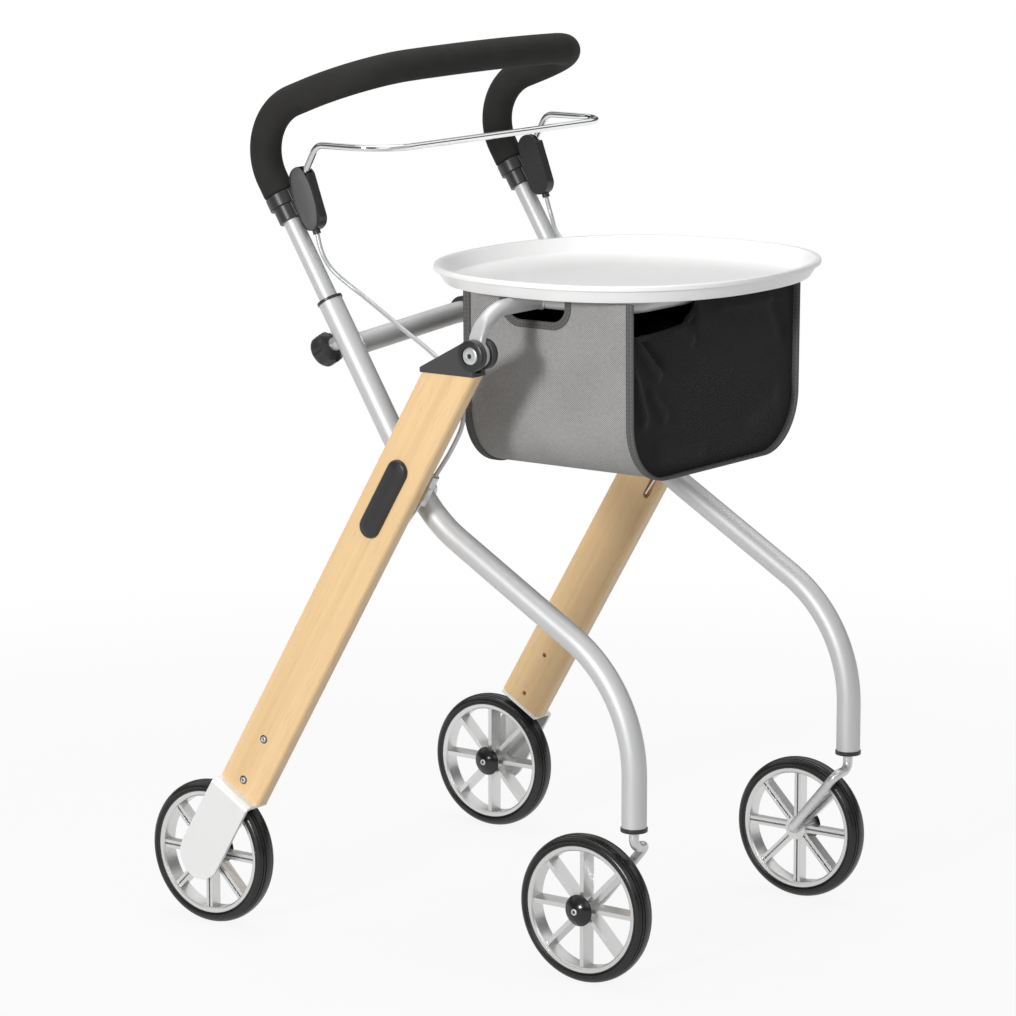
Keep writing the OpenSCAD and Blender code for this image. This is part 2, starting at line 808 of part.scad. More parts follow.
module tyre() {
    seat_r = rim_r + run_gap;
    color(black) difference() {
        rotate_extrude() polygon(concat(
            [[seat_r, rim_w / 2], [seat_r, -rim_w / 2]],
            [for (i = [0 : tyre_steps])
                let (a = -90 + 180 * i / tyre_steps)
                [wheel_r - tyre_crown * (1 - cos(a)), tyre_w / 2 * sin(a)]]
        ));
        for (side = [-1, 1]) translate([0, 0, side * groove_off - groove_w / 2]) difference() {
            cylinder(h = groove_w, r = wheel_r + cut_over);
            translate([0, 0, -cut_over])
                cylinder(h = groove_w + 2 * cut_over, r = wheel_r - groove_deep - clear_gap);
        }
    }
}

module hub_cap() {
    dome_r = (cap_d * cap_d / 4 + cap_h * cap_h) / (2 * cap_h);
    color(black) translate([0, 0, hub_capped]) intersection() {
        translate([0, 0, cap_h - dome_r]) sphere(r = dome_r, $fn = 2 * $fn);
        cylinder(h = 2 * cap_h, r = cap_d / 2 - run_gap);
    }
}

front_axle = [caster_trail, wheel_r];
module at_front_wheel() {
    translate(placed(-side_x, front_axle)) rotate([0, -90, 0]) children();
}

module at_rear_wheel() {
    translate(placed(-leg_x, rear_axle)) rotate([0, 90, 0]) children();
}

module right_front_rim() { at_front_wheel() rim(); }
module left_front_rim() { left_side() right_front_rim(); }
module right_front_tyre() { at_front_wheel() tyre(); }
module left_front_tyre() { left_side() right_front_tyre(); }
module right_front_cap() { at_front_wheel() hub_cap(); }
module left_front_cap() { left_side() right_front_cap(); }
module right_rear_rim() { at_rear_wheel() rim(); }
module left_rear_rim() { left_side() right_rear_rim(); }
module right_rear_tyre() { at_rear_wheel() tyre(); }
module left_rear_tyre() { left_side() right_rear_tyre(); }
module right_rear_cap() { at_rear_wheel() hub_cap(); }
module left_rear_cap() { left_side() right_rear_cap(); }

module rear_axle_pin() {
    color(steel) {
        across(-leg_x - plate_in, -leg_x + hub_capped - axle_short, rear_axle, axle_r);
        across(-leg_x - plate_in, -leg_x - hub_open - clear_gap, rear_axle, axle_shoulder_d / 2);
    }
}

module right_rear_axle() { rear_axle_pin(); }
module left_rear_axle() { left_side() rear_axle_pin(); }

// Caster forks: one bent rod is stem, arm and axle.
fork_drop = 7.5;
fork_bend_r = 10;
fork_side = 22;
fork_level = foot_z - plug_h - fork_drop - fork_bend_r;
fork_reach = norm([caster_trail, fork_level - wheel_r]);
fork_turn = flat_angle + lean_of([caster_trail, fork_level - wheel_r]);
fork_rows = [
    [stem_len + plug_h + fork_drop, 0, right_angle, fork_bend_r],
    [fork_side - 2 * fork_bend_r, fork_turn, right_angle, fork_bend_r],
    [fork_reach - 2 * fork_bend_r, 0, right_angle, fork_bend_r],
    [fork_side - fork_bend_r + hub_capped - axle_short, 0, 0, 0]
];

module caster_fork() {
    color(steel) translate([-side_x, stem_y, foot_z + stem_len]) rotate([180, 0, 0])
        bent_run(fork_rows, axle_r);
}

module right_caster_fork() { caster_fork(); }
module left_caster_fork() { left_side() caster_fork(); }

// Tray loop

arm_angle = 55;
arm_straight = 26;
arm_bend_r = 47.5;
eye_r = 13;
eye_t = cheek_slot - 2 * clear_gap;
stay_d = 12;
clip_wall = 5;
clip_w = 24;
clip_socket = 26;
clip_open_angle = 255;
// The round of an arm starts clear of the hinge boss.
arm_lead = (boss_r + 2 * clear_gap + loop_tube_r * cos(arm_angle)) / sin(arm_angle);
arm_land = arm_straight - arm_lead;
loop_z = hinge[1] + arm_straight * sin(arm_angle) + arm_bend_r * (1 - cos(arm_angle));
loop_rear = [loop_back + loop_l / 2, loop_z];
arm_in = arm_straight * cos(arm_angle) + arm_bend_r * sin(arm_angle);
arm_rows = [
    [arm_land, 0, arm_angle, arm_bend_r],
    [leg_x - loop_w / 2 - arm_in, 0, 0, 0]
];
loop_wall = 1.5;
loop_rows = [
    [loop_w - 2 * loop_r, -right_angle, right_angle, loop_r],
    [loop_l - 2 * loop_r, 0, right_angle, loop_r],
    [loop_w - 2 * loop_r, 0, right_angle, loop_r],
    [loop_l - 2 * loop_r, 0, right_angle, loop_r]
];

module loop_solid(r) {
    translate(placed(-loop_w / 2 + loop_r, loop_rear)) rotate([0, 90, 0]) bent_run(loop_rows, r);
}

module tray_loop() {
    color(silver) difference() {
        loop_solid(loop_tube_r);
        loop_solid(loop_tube_r - loop_wall);
    }
}

module at_arm_start() {
    translate(placed(-leg_x, hinge)) rotate([0, right_angle - arm_angle, 0]) translate([0, 0, arm_lead])
        children();
}

module tray_arm() {
    color(silver) difference() {
        union() {
            at_arm_start() bent_run(arm_rows, loop_tube_r);
            hull() {
                at_arm_start() cylinder(h = cut_over, r = loop_tube_r - bend_thin, $fn = hull_fn);
                translate(placed(-leg_x, hinge)) translate([-eye_t / 2, -loop_tube_r, boss_r + clear_gap])
                    cube([eye_t, loop_d, cut_over]);
            }
            across(-leg_x - eye_t / 2, -leg_x + eye_t / 2, hinge, eye_r);
            translate(placed(-leg_x, hinge)) translate([-eye_t / 2, -loop_tube_r, 0])
                cube([eye_t, loop_d, boss_r + clear_gap + cut_over]);
        }
        across(-leg_x - eye_t, -leg_x + eye_t, hinge, hinge_bolt_d / 2 + run_gap);
        translate(placed(-loop_w / 2, [0, loop_z])) rotate([-90, 0, 0])
            cylinder(h = loop_back + loop_l, r = loop_tube_r + run_gap);
    }
}

module right_tray_arm() { tray_arm(); }
module left_tray_arm() { left_side() tray_arm(); }

stay_vector = crossbar_point - loop_rear;
stay_lean = lean_of(stay_vector);
clip_r = crossbar_r + clip_wall;

module loop_stay() {
    color(silver) difference() {
        translate(placed(0, loop_rear)) rotate([-stay_lean, 0, 0])
            cylinder(h = norm(stay_vector) - clip_r + clip_wall / 2, r = stay_d / 2);
        loop_solid(loop_tube_r + run_gap);
    }
}

module stay_clip() {
    color(black) difference() {
        union() {
            across(-clip_w / 2, clip_w / 2, crossbar_point, clip_r);
            translate(placed(0, crossbar_point)) rotate([flat_angle - stay_lean, 0, 0])
                cylinder(h = clip_socket, r = stay_d / 2 + clip_wall / 2);
        }
        across(-clip_w, clip_w, crossbar_point, crossbar_r + clear_gap);
        side_plate(-clip_w, clip_w) translate(crossbar_point) rotate(clip_open_angle)
            translate([-cut_over, -2 * clip_r]) square([2 * clip_r, 4 * clip_r]);
        translate(placed(0, loop_rear)) rotate([-stay_lean, 0, 0])
            cylinder(h = norm(stay_vector) - clip_r + clip_wall / 2 + run_gap, r = stay_d / 2 + run_gap);
    }
}

// Bag: a shell open at the top, hung on the outside of the loop.

bag_ease = 1.2;
bag_fit = loop_tube_r + bag_ease + bag_wall;
bag_top_z = loop_z + loop_tube_r - bag_wall;
bag_half = loop_w / 2 + bag_fit;
bag_rear = loop_back + loop_l / 2 + bag_fit;
bag_front = loop_back - loop_l / 2 - bag_fit;
bag_steps = 6;
arm_cut_w = 74;
arm_cut_deep = 30;
mouth_w = 105;
mouth_deep = 30;
mouth_slope = 16;
stay_cut_ease = 1.2;
stay_cut_w = stay_d + 2 * stay_cut_ease;

module bag_front_view(inset, extra) {
    low = bag_top_z - bag_h + inset;
    top_half = bag_half - inset;
    low_half = bag_bottom_w / 2 - inset;
    r = bag_corner_r - inset;
    polygon(concat(
        [[top_half, bag_top_z + extra]],
        arc_points([low_half - r, low + r], r, 0, -90, bag_steps),
        arc_points([-low_half + r, low + r], r, -90, -180, bag_steps),
        [[-top_half, bag_top_z + extra]]
    ));
}

module bag_solid(inset, extra) {
    translate([0, stem_y + bag_rear - inset, 0]) rotate([90, 0, 0])
        linear_extrude(height = bag_rear - bag_front - 2 * inset) bag_front_view(inset, extra);
}

module bag() {
    color(cloth_grey) difference() {
        bag_solid(0, 0);
        bag_solid(bag_wall, cut_over);
        side_plate(-2 * bag_half, 2 * bag_half) translate([hinge[0], bag_top_z]) {
            square([arm_cut_w, 2 * (arm_cut_deep - arm_cut_w / 4)], center = true);
            for (end = [-1, 1]) translate([end * arm_cut_w / 4, -arm_cut_deep + arm_cut_w / 4])
                circle(r = arm_cut_w / 4);
            translate([-arm_cut_w / 4, -arm_cut_deep]) square([arm_cut_w / 2, arm_cut_deep]);
        }
        translate([-bag_half, stem_y + bag_front - bag_wall, bag_top_z]) rotate([-90, 0, 0])
            linear_extrude(height = 3 * bag_wall) polygon([
                [bag_wall, -cut_over], [bag_wall, mouth_deep],
                [mouth_w - mouth_slope, mouth_deep - mouth_slope / 2], [mouth_w, -cut_over]
            ]);
        translate([-stay_cut_w / 2, stem_y + bag_rear - 3 * bag_wall, bag_top_z - 2 * stay_d])
            cube([stay_cut_w, 6 * bag_wall, 3 * stay_d]);
    }
}

// Tray: a shallow dish with flared walls and a thin lip, resting on the loop.

tray_floor_t = 3;
tray_wall = 3;
tray_flare = 8;
tray_foot_r = 5;
tray_lip = 3;
tray_lip_t = 2;
tray_steps = 96;
lug_d = 12;
lug_h = 6;
lug_gap = 0.6;
lug_spread = 80;
tray_z = loop_z + loop_tube_r + clear_gap;

// Each ring is [inset from the outline, height]: up the outside, over the lip and down the inside.
tray_rings = [
    [tray_lip + tray_flare + tray_foot_r, 0],
    [tray_lip + tray_flare + tray_foot_r / 3, tray_foot_r / 5],
    [tray_lip + tray_flare, tray_foot_r / 2],
    [tray_lip, tray_h - tray_lip_t],
    [0, tray_h - tray_lip_t],
    [0, tray_h],
    [tray_lip + tray_wall, tray_h],
    [tray_lip + tray_wall + tray_flare, tray_floor_t + tray_foot_r / 2],
    [tray_lip + tray_wall + tray_flare + tray_foot_r, tray_floor_t]
];

function power_of(v, p) = sign(v) * pow(abs(v), p);
function tray_ring(inset, z) = [
    for (i = [0 : tray_steps - 1])
        let (a = 360 * i / tray_steps)
        [(tray_w / 2 - inset) * power_of(cos(a), 2 / tray_power),
         (tray_l / 2 - inset) * power_of(sin(a), 2 / tray_power), z]
];

module tray() {
    color(white) translate([0, stem_y + tray_back, tray_z]) {
        lofted([for (ring = tray_rings) tray_ring(ring[0], ring[1])]);
        for (sx = [-1, 1], sy = [-1, 1])
            translate([sx * (loop_w / 2 - loop_tube_r - lug_gap - lug_d / 2),
                       sy * lug_spread / 2 + loop_back - tray_back, -lug_h])
            cylinder(h = lug_h + tray_floor_t / 2, r = lug_d / 2);
    }
}

// Brake cables: a sheath from each housing to its adjuster, then bare wire into the leg.

cable_sides = 10;
cable_steps = 3;
wire_d = 2.4;
wire_over_share = 1.15;
adjuster_d = 9;
adjuster_l = 34;
adjuster_low = 8;
adjuster_block_l = 14;
gland_point = housing_mid - (housing_end + clear_gap) * along(housing_lean);
adjuster_point = pivot + (adjuster_low + adjuster_l + clear_gap) * leg_up - cable_fwd * leg_rear;
sheath_top = placed(-side_x, gland_point);
sheath_low = placed(-leg_x + leg_t / 2 + cable_off, adjuster_point);
// Shares of the way across, back and down, from the housing to the adjuster.
sheath_shares = [
    [0.03, 0.05, 0.09], [0.16, 0.15, 0.16], [0.42, 0.41, 0.25], [0.71, 0.71, 0.36],
    [0.97, 1.02, 0.48], [1, 1.17, 0.61], [1, 1.20, 0.74], [1, 1.12, 0.87]
];
sheath_way = sheath_low - sheath_top;
sheath_route = concat(
    [sheath_top],
    [for (share = sheath_shares) [for (k = [0 : 2]) sheath_top[k] + share[k] * sheath_way[k]]],
    [sheath_low]
);

function smooth_point(p, i, t) =
    let (n = len(p) - 1, a = p[max(i - 1, 0)], b = p[i], c = p[min(i + 1, n)], d = p[min(i + 2, n)])
    0.5 * (2 * b + (c - a) * t + (2 * a - 5 * b + 4 * c - d) * t * t + (3 * b - a - 3 * c + d) * t * t * t);
function smooth_route(p, steps) = concat(
    [for (i = [0 : len(p) - 2], k = [0 : steps - 1]) smooth_point(p, i, k / steps)], [p[len(p) - 1]]
);
function unit(v) = v / norm(v);
function ring_at(p, i, r, sides) =
    let (t = unit(p[min(i + 1, len(p) - 1)] - p[max(i - 1, 0)]),
         u = unit(cross(t, [1, 0, 0])), v = cross(t, u))
    [for (k = [0 : sides - 1]) p[i] + r * (cos(360 * k / sides) * u + sin(360 * k / sides) * v)];

module brake_cable() {
    route = smooth_route(sheath_route, cable_steps);
    color(cable_grey)
        lofted([for (i = [0 : len(route) - 1]) ring_at(route, i, cable_d / 2, cable_sides)]);
}

module right_brake_cable() { brake_cable(); }
module left_brake_cable() { left_side() brake_cable(); }

module cable_adjuster() {
    wire = [-cable_off, cable_fwd - plunger_fwd, -pocket_drop - adjuster_low];
    color(steel) at_leg() translate([leg_t / 2 + cable_off, -cable_fwd, adjuster_low]) {
        cylinder(h = adjuster_l, r = adjuster_d / 2);
        translate([-cable_off, -adjuster_d / 2, adjuster_block_l / 2])
            cube([cable_off, adjuster_d, adjuster_block_l]);
        rotate([0, acos(wire[2] / norm(wire)), atan2(wire[1], wire[0])])
            cylinder(h = wire_over_share * norm(wire), r = wire_d / 2);
    }
}

module right_cable_adjuster() { cable_adjuster(); }
module left_cable_adjuster() { left_side() cable_adjuster(); }

right_frame_tube();
left_frame_tube();
crossbar();
tube_collars();
clamp_nuts();
pivot_bolts();
pivot_spacers();
stem_plugs();
handle_tube();
grip_foam();
clamp_sleeves();
right_brake_housing();
left_brake_housing();
right_housing_cover();
left_housing_cover();
brake_bar();
right_clamp_knob();
left_clamp_knob();
right_leg();
left_leg();
right_hinge_cap();
left_hinge_cap();
right_pivot_cover();
left_pivot_cover();
right_wheel_bracket();
left_wheel_bracket();
right_leg_screws();
left_leg_screws();
right_hinge_bolt();
left_hinge_bolt();
right_rear_axle();
left_rear_axle();
right_brake_cable();
left_brake_cable();
right_cable_adjuster();
left_cable_adjuster();
right_brake_plunger();
left_brake_plunger();
tray_loop();
right_tray_arm();
left_tray_arm();
loop_stay();
stay_clip();
bag();
tray();
right_caster_fork();
left_caster_fork();
right_front_rim();
left_front_rim();
right_front_tyre();
left_front_tyre();
right_front_cap();
left_front_cap();
right_rear_rim();
left_rear_rim();
right_rear_tyre();
left_rear_tyre();
right_rear_cap();
left_rear_cap();
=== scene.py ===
"""Looks of the indoor walker: cloth, foam, cables, tyres, tray, fittings, finishes and studio.

Lengths are in metres and named angles in degrees. Names that end in STEPS, SIDES, ROWS, COLS or RINGS count
points, and a right-hand piece is mirrored to make the left one."""

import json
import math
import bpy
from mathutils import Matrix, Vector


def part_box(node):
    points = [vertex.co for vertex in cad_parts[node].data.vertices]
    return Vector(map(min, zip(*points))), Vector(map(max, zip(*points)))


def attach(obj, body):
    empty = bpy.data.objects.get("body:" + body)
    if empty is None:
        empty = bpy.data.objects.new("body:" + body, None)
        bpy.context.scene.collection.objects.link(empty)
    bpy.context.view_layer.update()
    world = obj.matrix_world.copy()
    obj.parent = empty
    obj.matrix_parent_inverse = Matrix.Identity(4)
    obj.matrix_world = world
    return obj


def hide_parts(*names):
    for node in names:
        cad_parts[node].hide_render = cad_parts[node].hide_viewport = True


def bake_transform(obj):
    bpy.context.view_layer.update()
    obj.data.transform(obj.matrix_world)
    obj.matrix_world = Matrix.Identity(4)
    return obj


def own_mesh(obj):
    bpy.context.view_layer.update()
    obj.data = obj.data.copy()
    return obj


bl_info = {
    "name": "Indoor walker looks",
    "version": (1, 0, 0),
    "blender": (4, 5, 0),
    "location": "3D View > Sidebar > Walker",
    "description": "Builds the cloth, foam, cables, tyres, tray and finishes around the walker's solids",
    "category": "Object",
}

import bmesh
import bpy
import numpy as np
from bpy.props import FloatProperty, FloatVectorProperty, IntProperty, PointerProperty
from bpy.types import Operator, Panel, PropertyGroup
from mathutils import Matrix, Vector

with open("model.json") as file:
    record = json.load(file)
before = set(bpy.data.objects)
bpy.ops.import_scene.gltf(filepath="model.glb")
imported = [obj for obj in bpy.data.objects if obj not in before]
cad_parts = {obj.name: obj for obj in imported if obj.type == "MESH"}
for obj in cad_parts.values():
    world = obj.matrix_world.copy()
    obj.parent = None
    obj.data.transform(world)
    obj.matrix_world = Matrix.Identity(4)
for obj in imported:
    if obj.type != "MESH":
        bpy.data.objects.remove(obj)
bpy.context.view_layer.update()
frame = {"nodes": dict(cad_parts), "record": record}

MM = 0.001
BODY_OF = {node: body for body, nodes in frame["record"]["behaviour"]["bodies"].items() for node in nodes}
SLOT_OF = {row["node"]: row["material_slot"] for row in frame["record"]["subparts"]}
# The hinge caps take a lighter copy of the black plastic, painted light
LOOK_OF = {"hinge_cap": "lit_cap_plastic"}
SIDES = (("right", 1.0), ("left", -1.0))
ENDS = ("front", "rear")
OUT = np.array([-1.0, 0.0, 0.0])
REAR = np.array([0.0, 1.0, 0.0])
UP = np.array([0.0, 0.0, 1.0])
SAME_POINT = 1e-6
SHARP_ANGLE = 40.0


def box_of(node):
    """Lowest and highest corner of a solid, as arrays."""
    low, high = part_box(node)
    return np.array(low), np.array(high)


def middle_of(node):
    """Middle of a solid's box."""
    low, high = box_of(node)
    return (low + high) / 2


BAG_LOW, BAG_HIGH = box_of("bag")
TRAY_LOW, TRAY_HIGH = box_of("tray")
LOOP_LOW, LOOP_HIGH = box_of("tray_loop")
TYRE_LOW, TYRE_HIGH = box_of("right_rear_tyre")
HINGE = middle_of("right_hinge_bolt")
LOOP_Z = (LOOP_LOW[2] + LOOP_HIGH[2]) / 2


# Sizes and colours


def length(name, description, default):
    """A length property in metres."""
    return FloatProperty(name=name, description=description, default=float(default), min=0.0, unit="LENGTH",
                         precision=4)


def colour(name, description, default):
    """A colour property, scene linear."""
    return FloatVectorProperty(name=name, description=description, default=default, size=3, min=0.0, max=1.0,
                               subtype="COLOR")


class WalkerSizes(PropertyGroup):
    """Sizes of the pieces that are made here."""
    grip_d: length("Grip diameter", "Diameter of the foam grip", 0.032)
    grip_end_round: length("Grip end rounding", "Rounding of the two foam ends", 0.004)
    cable_d: length("Cable diameter", "Diameter of the brake cable sheath", 0.0045)
    bag_foot_w: length("Bag width below", "Width of the bag above its lower corners", 0.2965)
    bag_corner_r: length("Bag corner radius", "Radius of the bag's lower corners", 0.060)
    bag_belly: length("Bag belly", "How far the front and back panels swell", 0.006)
    cloth_t: length("Cloth thickness", "Thickness of the bag's cloth", 0.0014)
    binding_w: length("Binding width", "Width of the tape that binds the seams", 0.0085)
    binding_t: length("Binding thickness", "Thickness of the bound seams", 0.0028)
    mouth_w: length("Mouth width", "Width of the dip in the front panel", 0.118)
    mouth_deep: length("Mouth depth", "Depth of the dip in the front panel", 0.034)
    tray_power: FloatProperty(name="Tray squareness", default=2.3, min=2.0, max=6.0,
                              description="Power of the tray's outline: 2 is an ellipse")
    tyre_crown: length("Tyre crown", "Height of the tyre's round crown", 0.007)
    soft_segments: IntProperty(name="Edge steps", default=3, min=1,
                               description="Steps across each softened edge")


class WalkerColours(PropertyGroup):
    """Colours of the finishes."""
    aluminium: colour("Aluminium", "Satin aluminium tube", (0.60, 0.602, 0.605))
    bracket: colour("Bracket", "Blasted aluminium sheet", (0.84, 0.84, 0.835))
    steel: colour("Steel", "Zinc-plated steel", (0.70, 0.705, 0.71))
    chrome: colour("Chrome", "Polished chrome", (0.86, 0.865, 0.87))
    black_plastic: colour("Black plastic", "Moulded black plastic", (0.024, 0.024, 0.024))
    cover_plastic: colour("Cover plastic", "Dark grey cover plastic", (0.085, 0.085, 0.085))
    foam: colour("Foam", "Closed-cell foam grip", (0.021, 0.0205, 0.019))
    beech: colour("Beech", "Lacquered beech", (0.84, 0.60, 0.320))
    beech_dark: colour("Beech grain", "Darker grain of the beech", (0.72, 0.46, 0.215))
    sheath: colour("Cable sheath", "Grey cable sheath", (0.50, 0.51, 0.52))
    twill: colour("Twill", "Grey side cloth of the bag", (0.345, 0.343, 0.338))
    nylon: colour("Nylon", "Black panel cloth of the bag", (0.0085, 0.0085, 0.0085))
    binding: colour("Binding", "Dark grey binding tape", (0.105, 0.105, 0.104))
    tray: colour("Tray", "White tray", (0.94, 0.94, 0.935))
    rim: colour("Rim", "Silver wheel rims", (0.74, 0.74, 0.735))
    tyre: colour("Tyre", "Black tyre rubber", (0.011, 0.011, 0.0105))


# Shader expressions


class Value:
    """A socket in a node tree. Arithmetic on it adds Math nodes."""

    def __init__(self, tree, socket):
        self.tree = tree
        self.socket = socket

    def math(self, operation, *values):
        """A Math node on values or numbers."""
        return self.tree.node("ShaderNodeMath", {"operation": operation}, dict(enumerate(values)))

    def __add__(self, other):
        return self.math("ADD", self, other)

    def __radd__(self, other):
        return self.math("ADD", other, self)

    def __sub__(self, other):
        return self.math("SUBTRACT", self, other)

    def __rsub__(self, other):
        return self.math("SUBTRACT", other, self)

    def __mul__(self, other):
        return self.math("MULTIPLY", self, other)

    def __rmul__(self, other):
        return self.math("MULTIPLY", other, self)

    def __abs__(self):
        return self.math("ABSOLUTE", self)

    def sine(self, pitch):
        """Sine that repeats at a pitch."""
        return self.math("SINE", self * (2 * math.pi / pitch))

    def wave(self, pitch):
        """The same sine moved to run between 0 and 1."""
        return self.sine(pitch) * 0.5 + 0.5

    def clamped(self):
        """The value kept between 0 and 1."""
        return self.math("MINIMUM", self.math("MAXIMUM", self, 0.0), 1.0)

    def step(self, low, high):
        """Smooth rise from 0 at low to 1 at high."""
        return self.tree.node("ShaderNodeMapRange", {"interpolation_type": "SMOOTHSTEP"},
                              {0: self, 1: low, 2: high})


class Tree:
    """A node tree with one method that adds nodes."""

    def __init__(self, node_tree):
        self.nodes = node_tree.nodes
        self.links = node_tree.links

    def node(self, kind, settings=None, sockets=None, out=0):
        """Adds a node: its settings first, then the values or links of its sockets."""
        made = self.nodes.new(kind)
        for key, value in (settings or {}).items():
            setattr(made, key, value)
        for key, value in (sockets or {}).items():
            self.link(value, made.inputs[key])
        return Value(self, made.outputs[out])

    def link(self, value, socket):
        """Feeds a socket with another one or with a plain value."""
        if isinstance(value, Value):
            self.links.new(value.socket, socket)
        else:
            socket.default_value = value

    def place(self, turn=(0.0, 0.0, 0.0), scale=(1.0, 1.0, 1.0), output="Object"):
        """Object coordinates, or the piece's own UV map, turned and scaled."""
        spot = self.node("ShaderNodeTexCoord", out=output)
        turned = self.node("ShaderNodeMapping", {}, {"Vector": spot, "Rotation": turn})
        return self.node("ShaderNodeMapping", {}, {"Vector": turned, "Scale": scale})

    def axis(self, vector, index):
        """One coordinate of a vector."""
        return self.node("ShaderNodeSeparateXYZ", {}, {0: vector}, index)

    def noise(self, vector, scale, detail=2.0, roughness=0.5):
        """Soft noise between about 0 and 1."""
        return self.node("ShaderNodeTexNoise", {},
                         {"Vector": vector, "Scale": scale, "Detail": detail, "Roughness": roughness})

    def along(self, vector, direction):
        """How far a vector goes in a direction."""
        return self.node("ShaderNodeVectorMath", {"operation": "DOT_PRODUCT"}, {0: vector, 1: direction}, 1)

    def mix(self, share, first, second):
        """Colour between two colours."""
        return self.node("ShaderNodeMix", {"data_type": "RGBA"},
                         {0: share, 6: opaque(first), 7: opaque(second)}, 2)


class Finish(Tree):
    """A material around one Principled shader."""

    def __init__(self, name, base, roughness, metallic=0.0, **uniform):
        self.material = bpy.data.materials.new(name)
        self.material.use_nodes = True
        super().__init__(self.material.node_tree)
        self.shader = self.nodes["Principled BSDF"]
        self.feed("Base Color", opaque(base))
        self.feed("Roughness", roughness)
        self.feed("Metallic", metallic)
        for key, value in uniform.items():
            self.feed(key.replace("_", " ").title().replace("Ior", "IOR"), value)

    def feed(self, socket, value):
        """Sets or links an input of the shader."""
        self.link(value, self.shader.inputs[socket])

    def bump(self, height, strength, distance):
        """Raises the surface by a height."""
        self.feed("Normal", self.node("ShaderNodeBump", {},
                                      {"Strength": strength, "Distance": distance, "Height": height}))


def opaque(tint):
    """A colour with full alpha; sockets pass unchanged."""
    return tint if isinstance(tint, Value) else (*tint[:3], 1.0)


def shade(tint, factor):
    """A colour made lighter or darker."""
    return tuple(min(1.0, channel * factor) for channel in tint[:3])


# Finishes

SHEATH_PITCH = 0.0024
TWILL_PITCH = 0.0031
NYLON_PITCH = 0.0034
RIB_PITCH = 0.0011
STITCH_PITCH = 0.0042
STITCH_ROW = 0.24


def satin_aluminium(tints):
    """Sanded tube: metal with a fine speckle in its gloss."""
    finish = Finish("satin_aluminium", tints.aluminium, 0.5, 0.45)
    speck = finish.noise(finish.place(), 900.0, 3.0)
    finish.feed("Roughness", speck * 0.14 + 0.43)
    finish.bump(speck, 0.03, 0.0002)
    return finish


def bracket_aluminium(tints):
    """Blasted sheet: paler and duller than the tube."""
    finish = Finish("bracket_aluminium", tints.bracket, 0.5, 0.35)
    speck = finish.noise(finish.place(), 1400.0, 3.0)
    finish.feed("Roughness", speck * 0.15 + 0.42)
    finish.bump(speck, 0.15, 0.0002)
    return finish


def steel(tints):
    """Zinc-plated rod: metal with soft clouds in its gloss."""
    finish = Finish("steel", tints.steel, 0.36, 0.75)
    cloud = finish.noise(finish.place(), 160.0, 4.0)
    finish.feed("Base Color", finish.mix(cloud, shade(tints.steel, 0.88), shade(tints.steel, 1.12)))
    finish.feed("Roughness", cloud * 0.16 + 0.28)
    return finish


def dark_steel(tints):
    """Very dark steel, for the cups round the leg screws and for the plates of painted shade in their
    sockets.
    """
    finish = Finish("dark_steel", shade(tints.steel, 0.22), 0.38, 1.0)
    finish.feed("Roughness", finish.noise(finish.place(), 700.0, 2.0) * 0.2 + 0.28)
    return finish


def chrome(tints):
    """Polished bar."""
    return Finish("chrome", tints.chrome, 0.07, 1.0)


def grained_plastic(name, tint, roughness):
    """Moulded plastic with a fine spark-eroded grain."""
    finish = Finish(name, tint, roughness)
    grain = finish.noise(finish.place(), 1100.0, 2.0)
    finish.feed("Roughness", grain * 0.14 + (roughness - 0.07))
    finish.bump(grain, 0.22, 0.0002)
    return finish


def black_plastic(tints):
    """Plain mouldings."""
    return grained_plastic("black_plastic", tints.black_plastic, 0.36)


def hub_plastic(tints):
    """Glossier and darker, for the hub caps."""
    return grained_plastic("hub_plastic", shade(tints.black_plastic, 0.55), 0.2)


def lit_cap_plastic(tints):
    """Duller, and lighter as painted light: a lit copy of the black plastic, for the hinge caps."""
    return grained_plastic("lit_cap_plastic", shade(tints.black_plastic, 2.1), 0.46)


def cover_plastic(tints):
    """Dark grey, for the covers of the brake housings."""
    return grained_plastic("cover_plastic", tints.cover_plastic, 0.46)


def foam(tints):
    """Foam skin: dull, with fine pores and faint lighter wear."""
    finish = Finish("foam", tints.foam, 0.85, specular_ior_level=0.25)
    spot = finish.place()
    pores = finish.noise(spot, 700.0, 3.0, 0.7)
    cloud = finish.noise(spot, 38.0, 3.0)
    finish.feed("Base Color", finish.mix(cloud, shade(tints.foam, 0.75), shade(tints.foam, 1.45)))
    finish.bump(pores, 0.35, 0.0004)
    return finish


def beech(tints):
    """Lacquered beech: long soft grain and short dark flecks along the leg."""
    finish = Finish("beech", tints.beech, 0.4, coat_weight=0.5, coat_roughness=0.28)
    lean = (math.radians(-LEG_LEAN), 0.0, 0.0)
    streak = finish.noise(finish.place(lean, (26.0, 46.0, 1.4)), 1.0, 5.0, 0.62)
    fine = finish.noise(finish.place(lean, (300.0, 420.0, 9.0)), 1.0, 3.0, 0.6)
    fleck = finish.noise(finish.place(lean, (520.0, 700.0, 46.0)), 1.0, 1.0).step(0.62, 0.72)
    band = streak.step(0.34, 0.70)
    wood = finish.mix(band * 0.55 + fine * 0.25, shade(tints.beech, 1.06), tints.beech_dark)
    finish.feed("Base Color", finish.mix(fleck * 0.24, wood, shade(tints.beech_dark, 0.72)))
    finish.feed("Roughness", fine * 0.16 + 0.32)
    finish.bump(fine, 0.05, 0.0002)
    return finish


def cable_sheath(tints):
    """Smooth grey plastic over a wound cable: faint rings along its length."""
    finish = Finish("cable_sheath", tints.sheath, 0.3, 0.25)
    turns = finish.axis(finish.place(output="UV"), 0).sine(SHEATH_PITCH)
    finish.bump(turns, 0.04, 0.0003)
    return finish


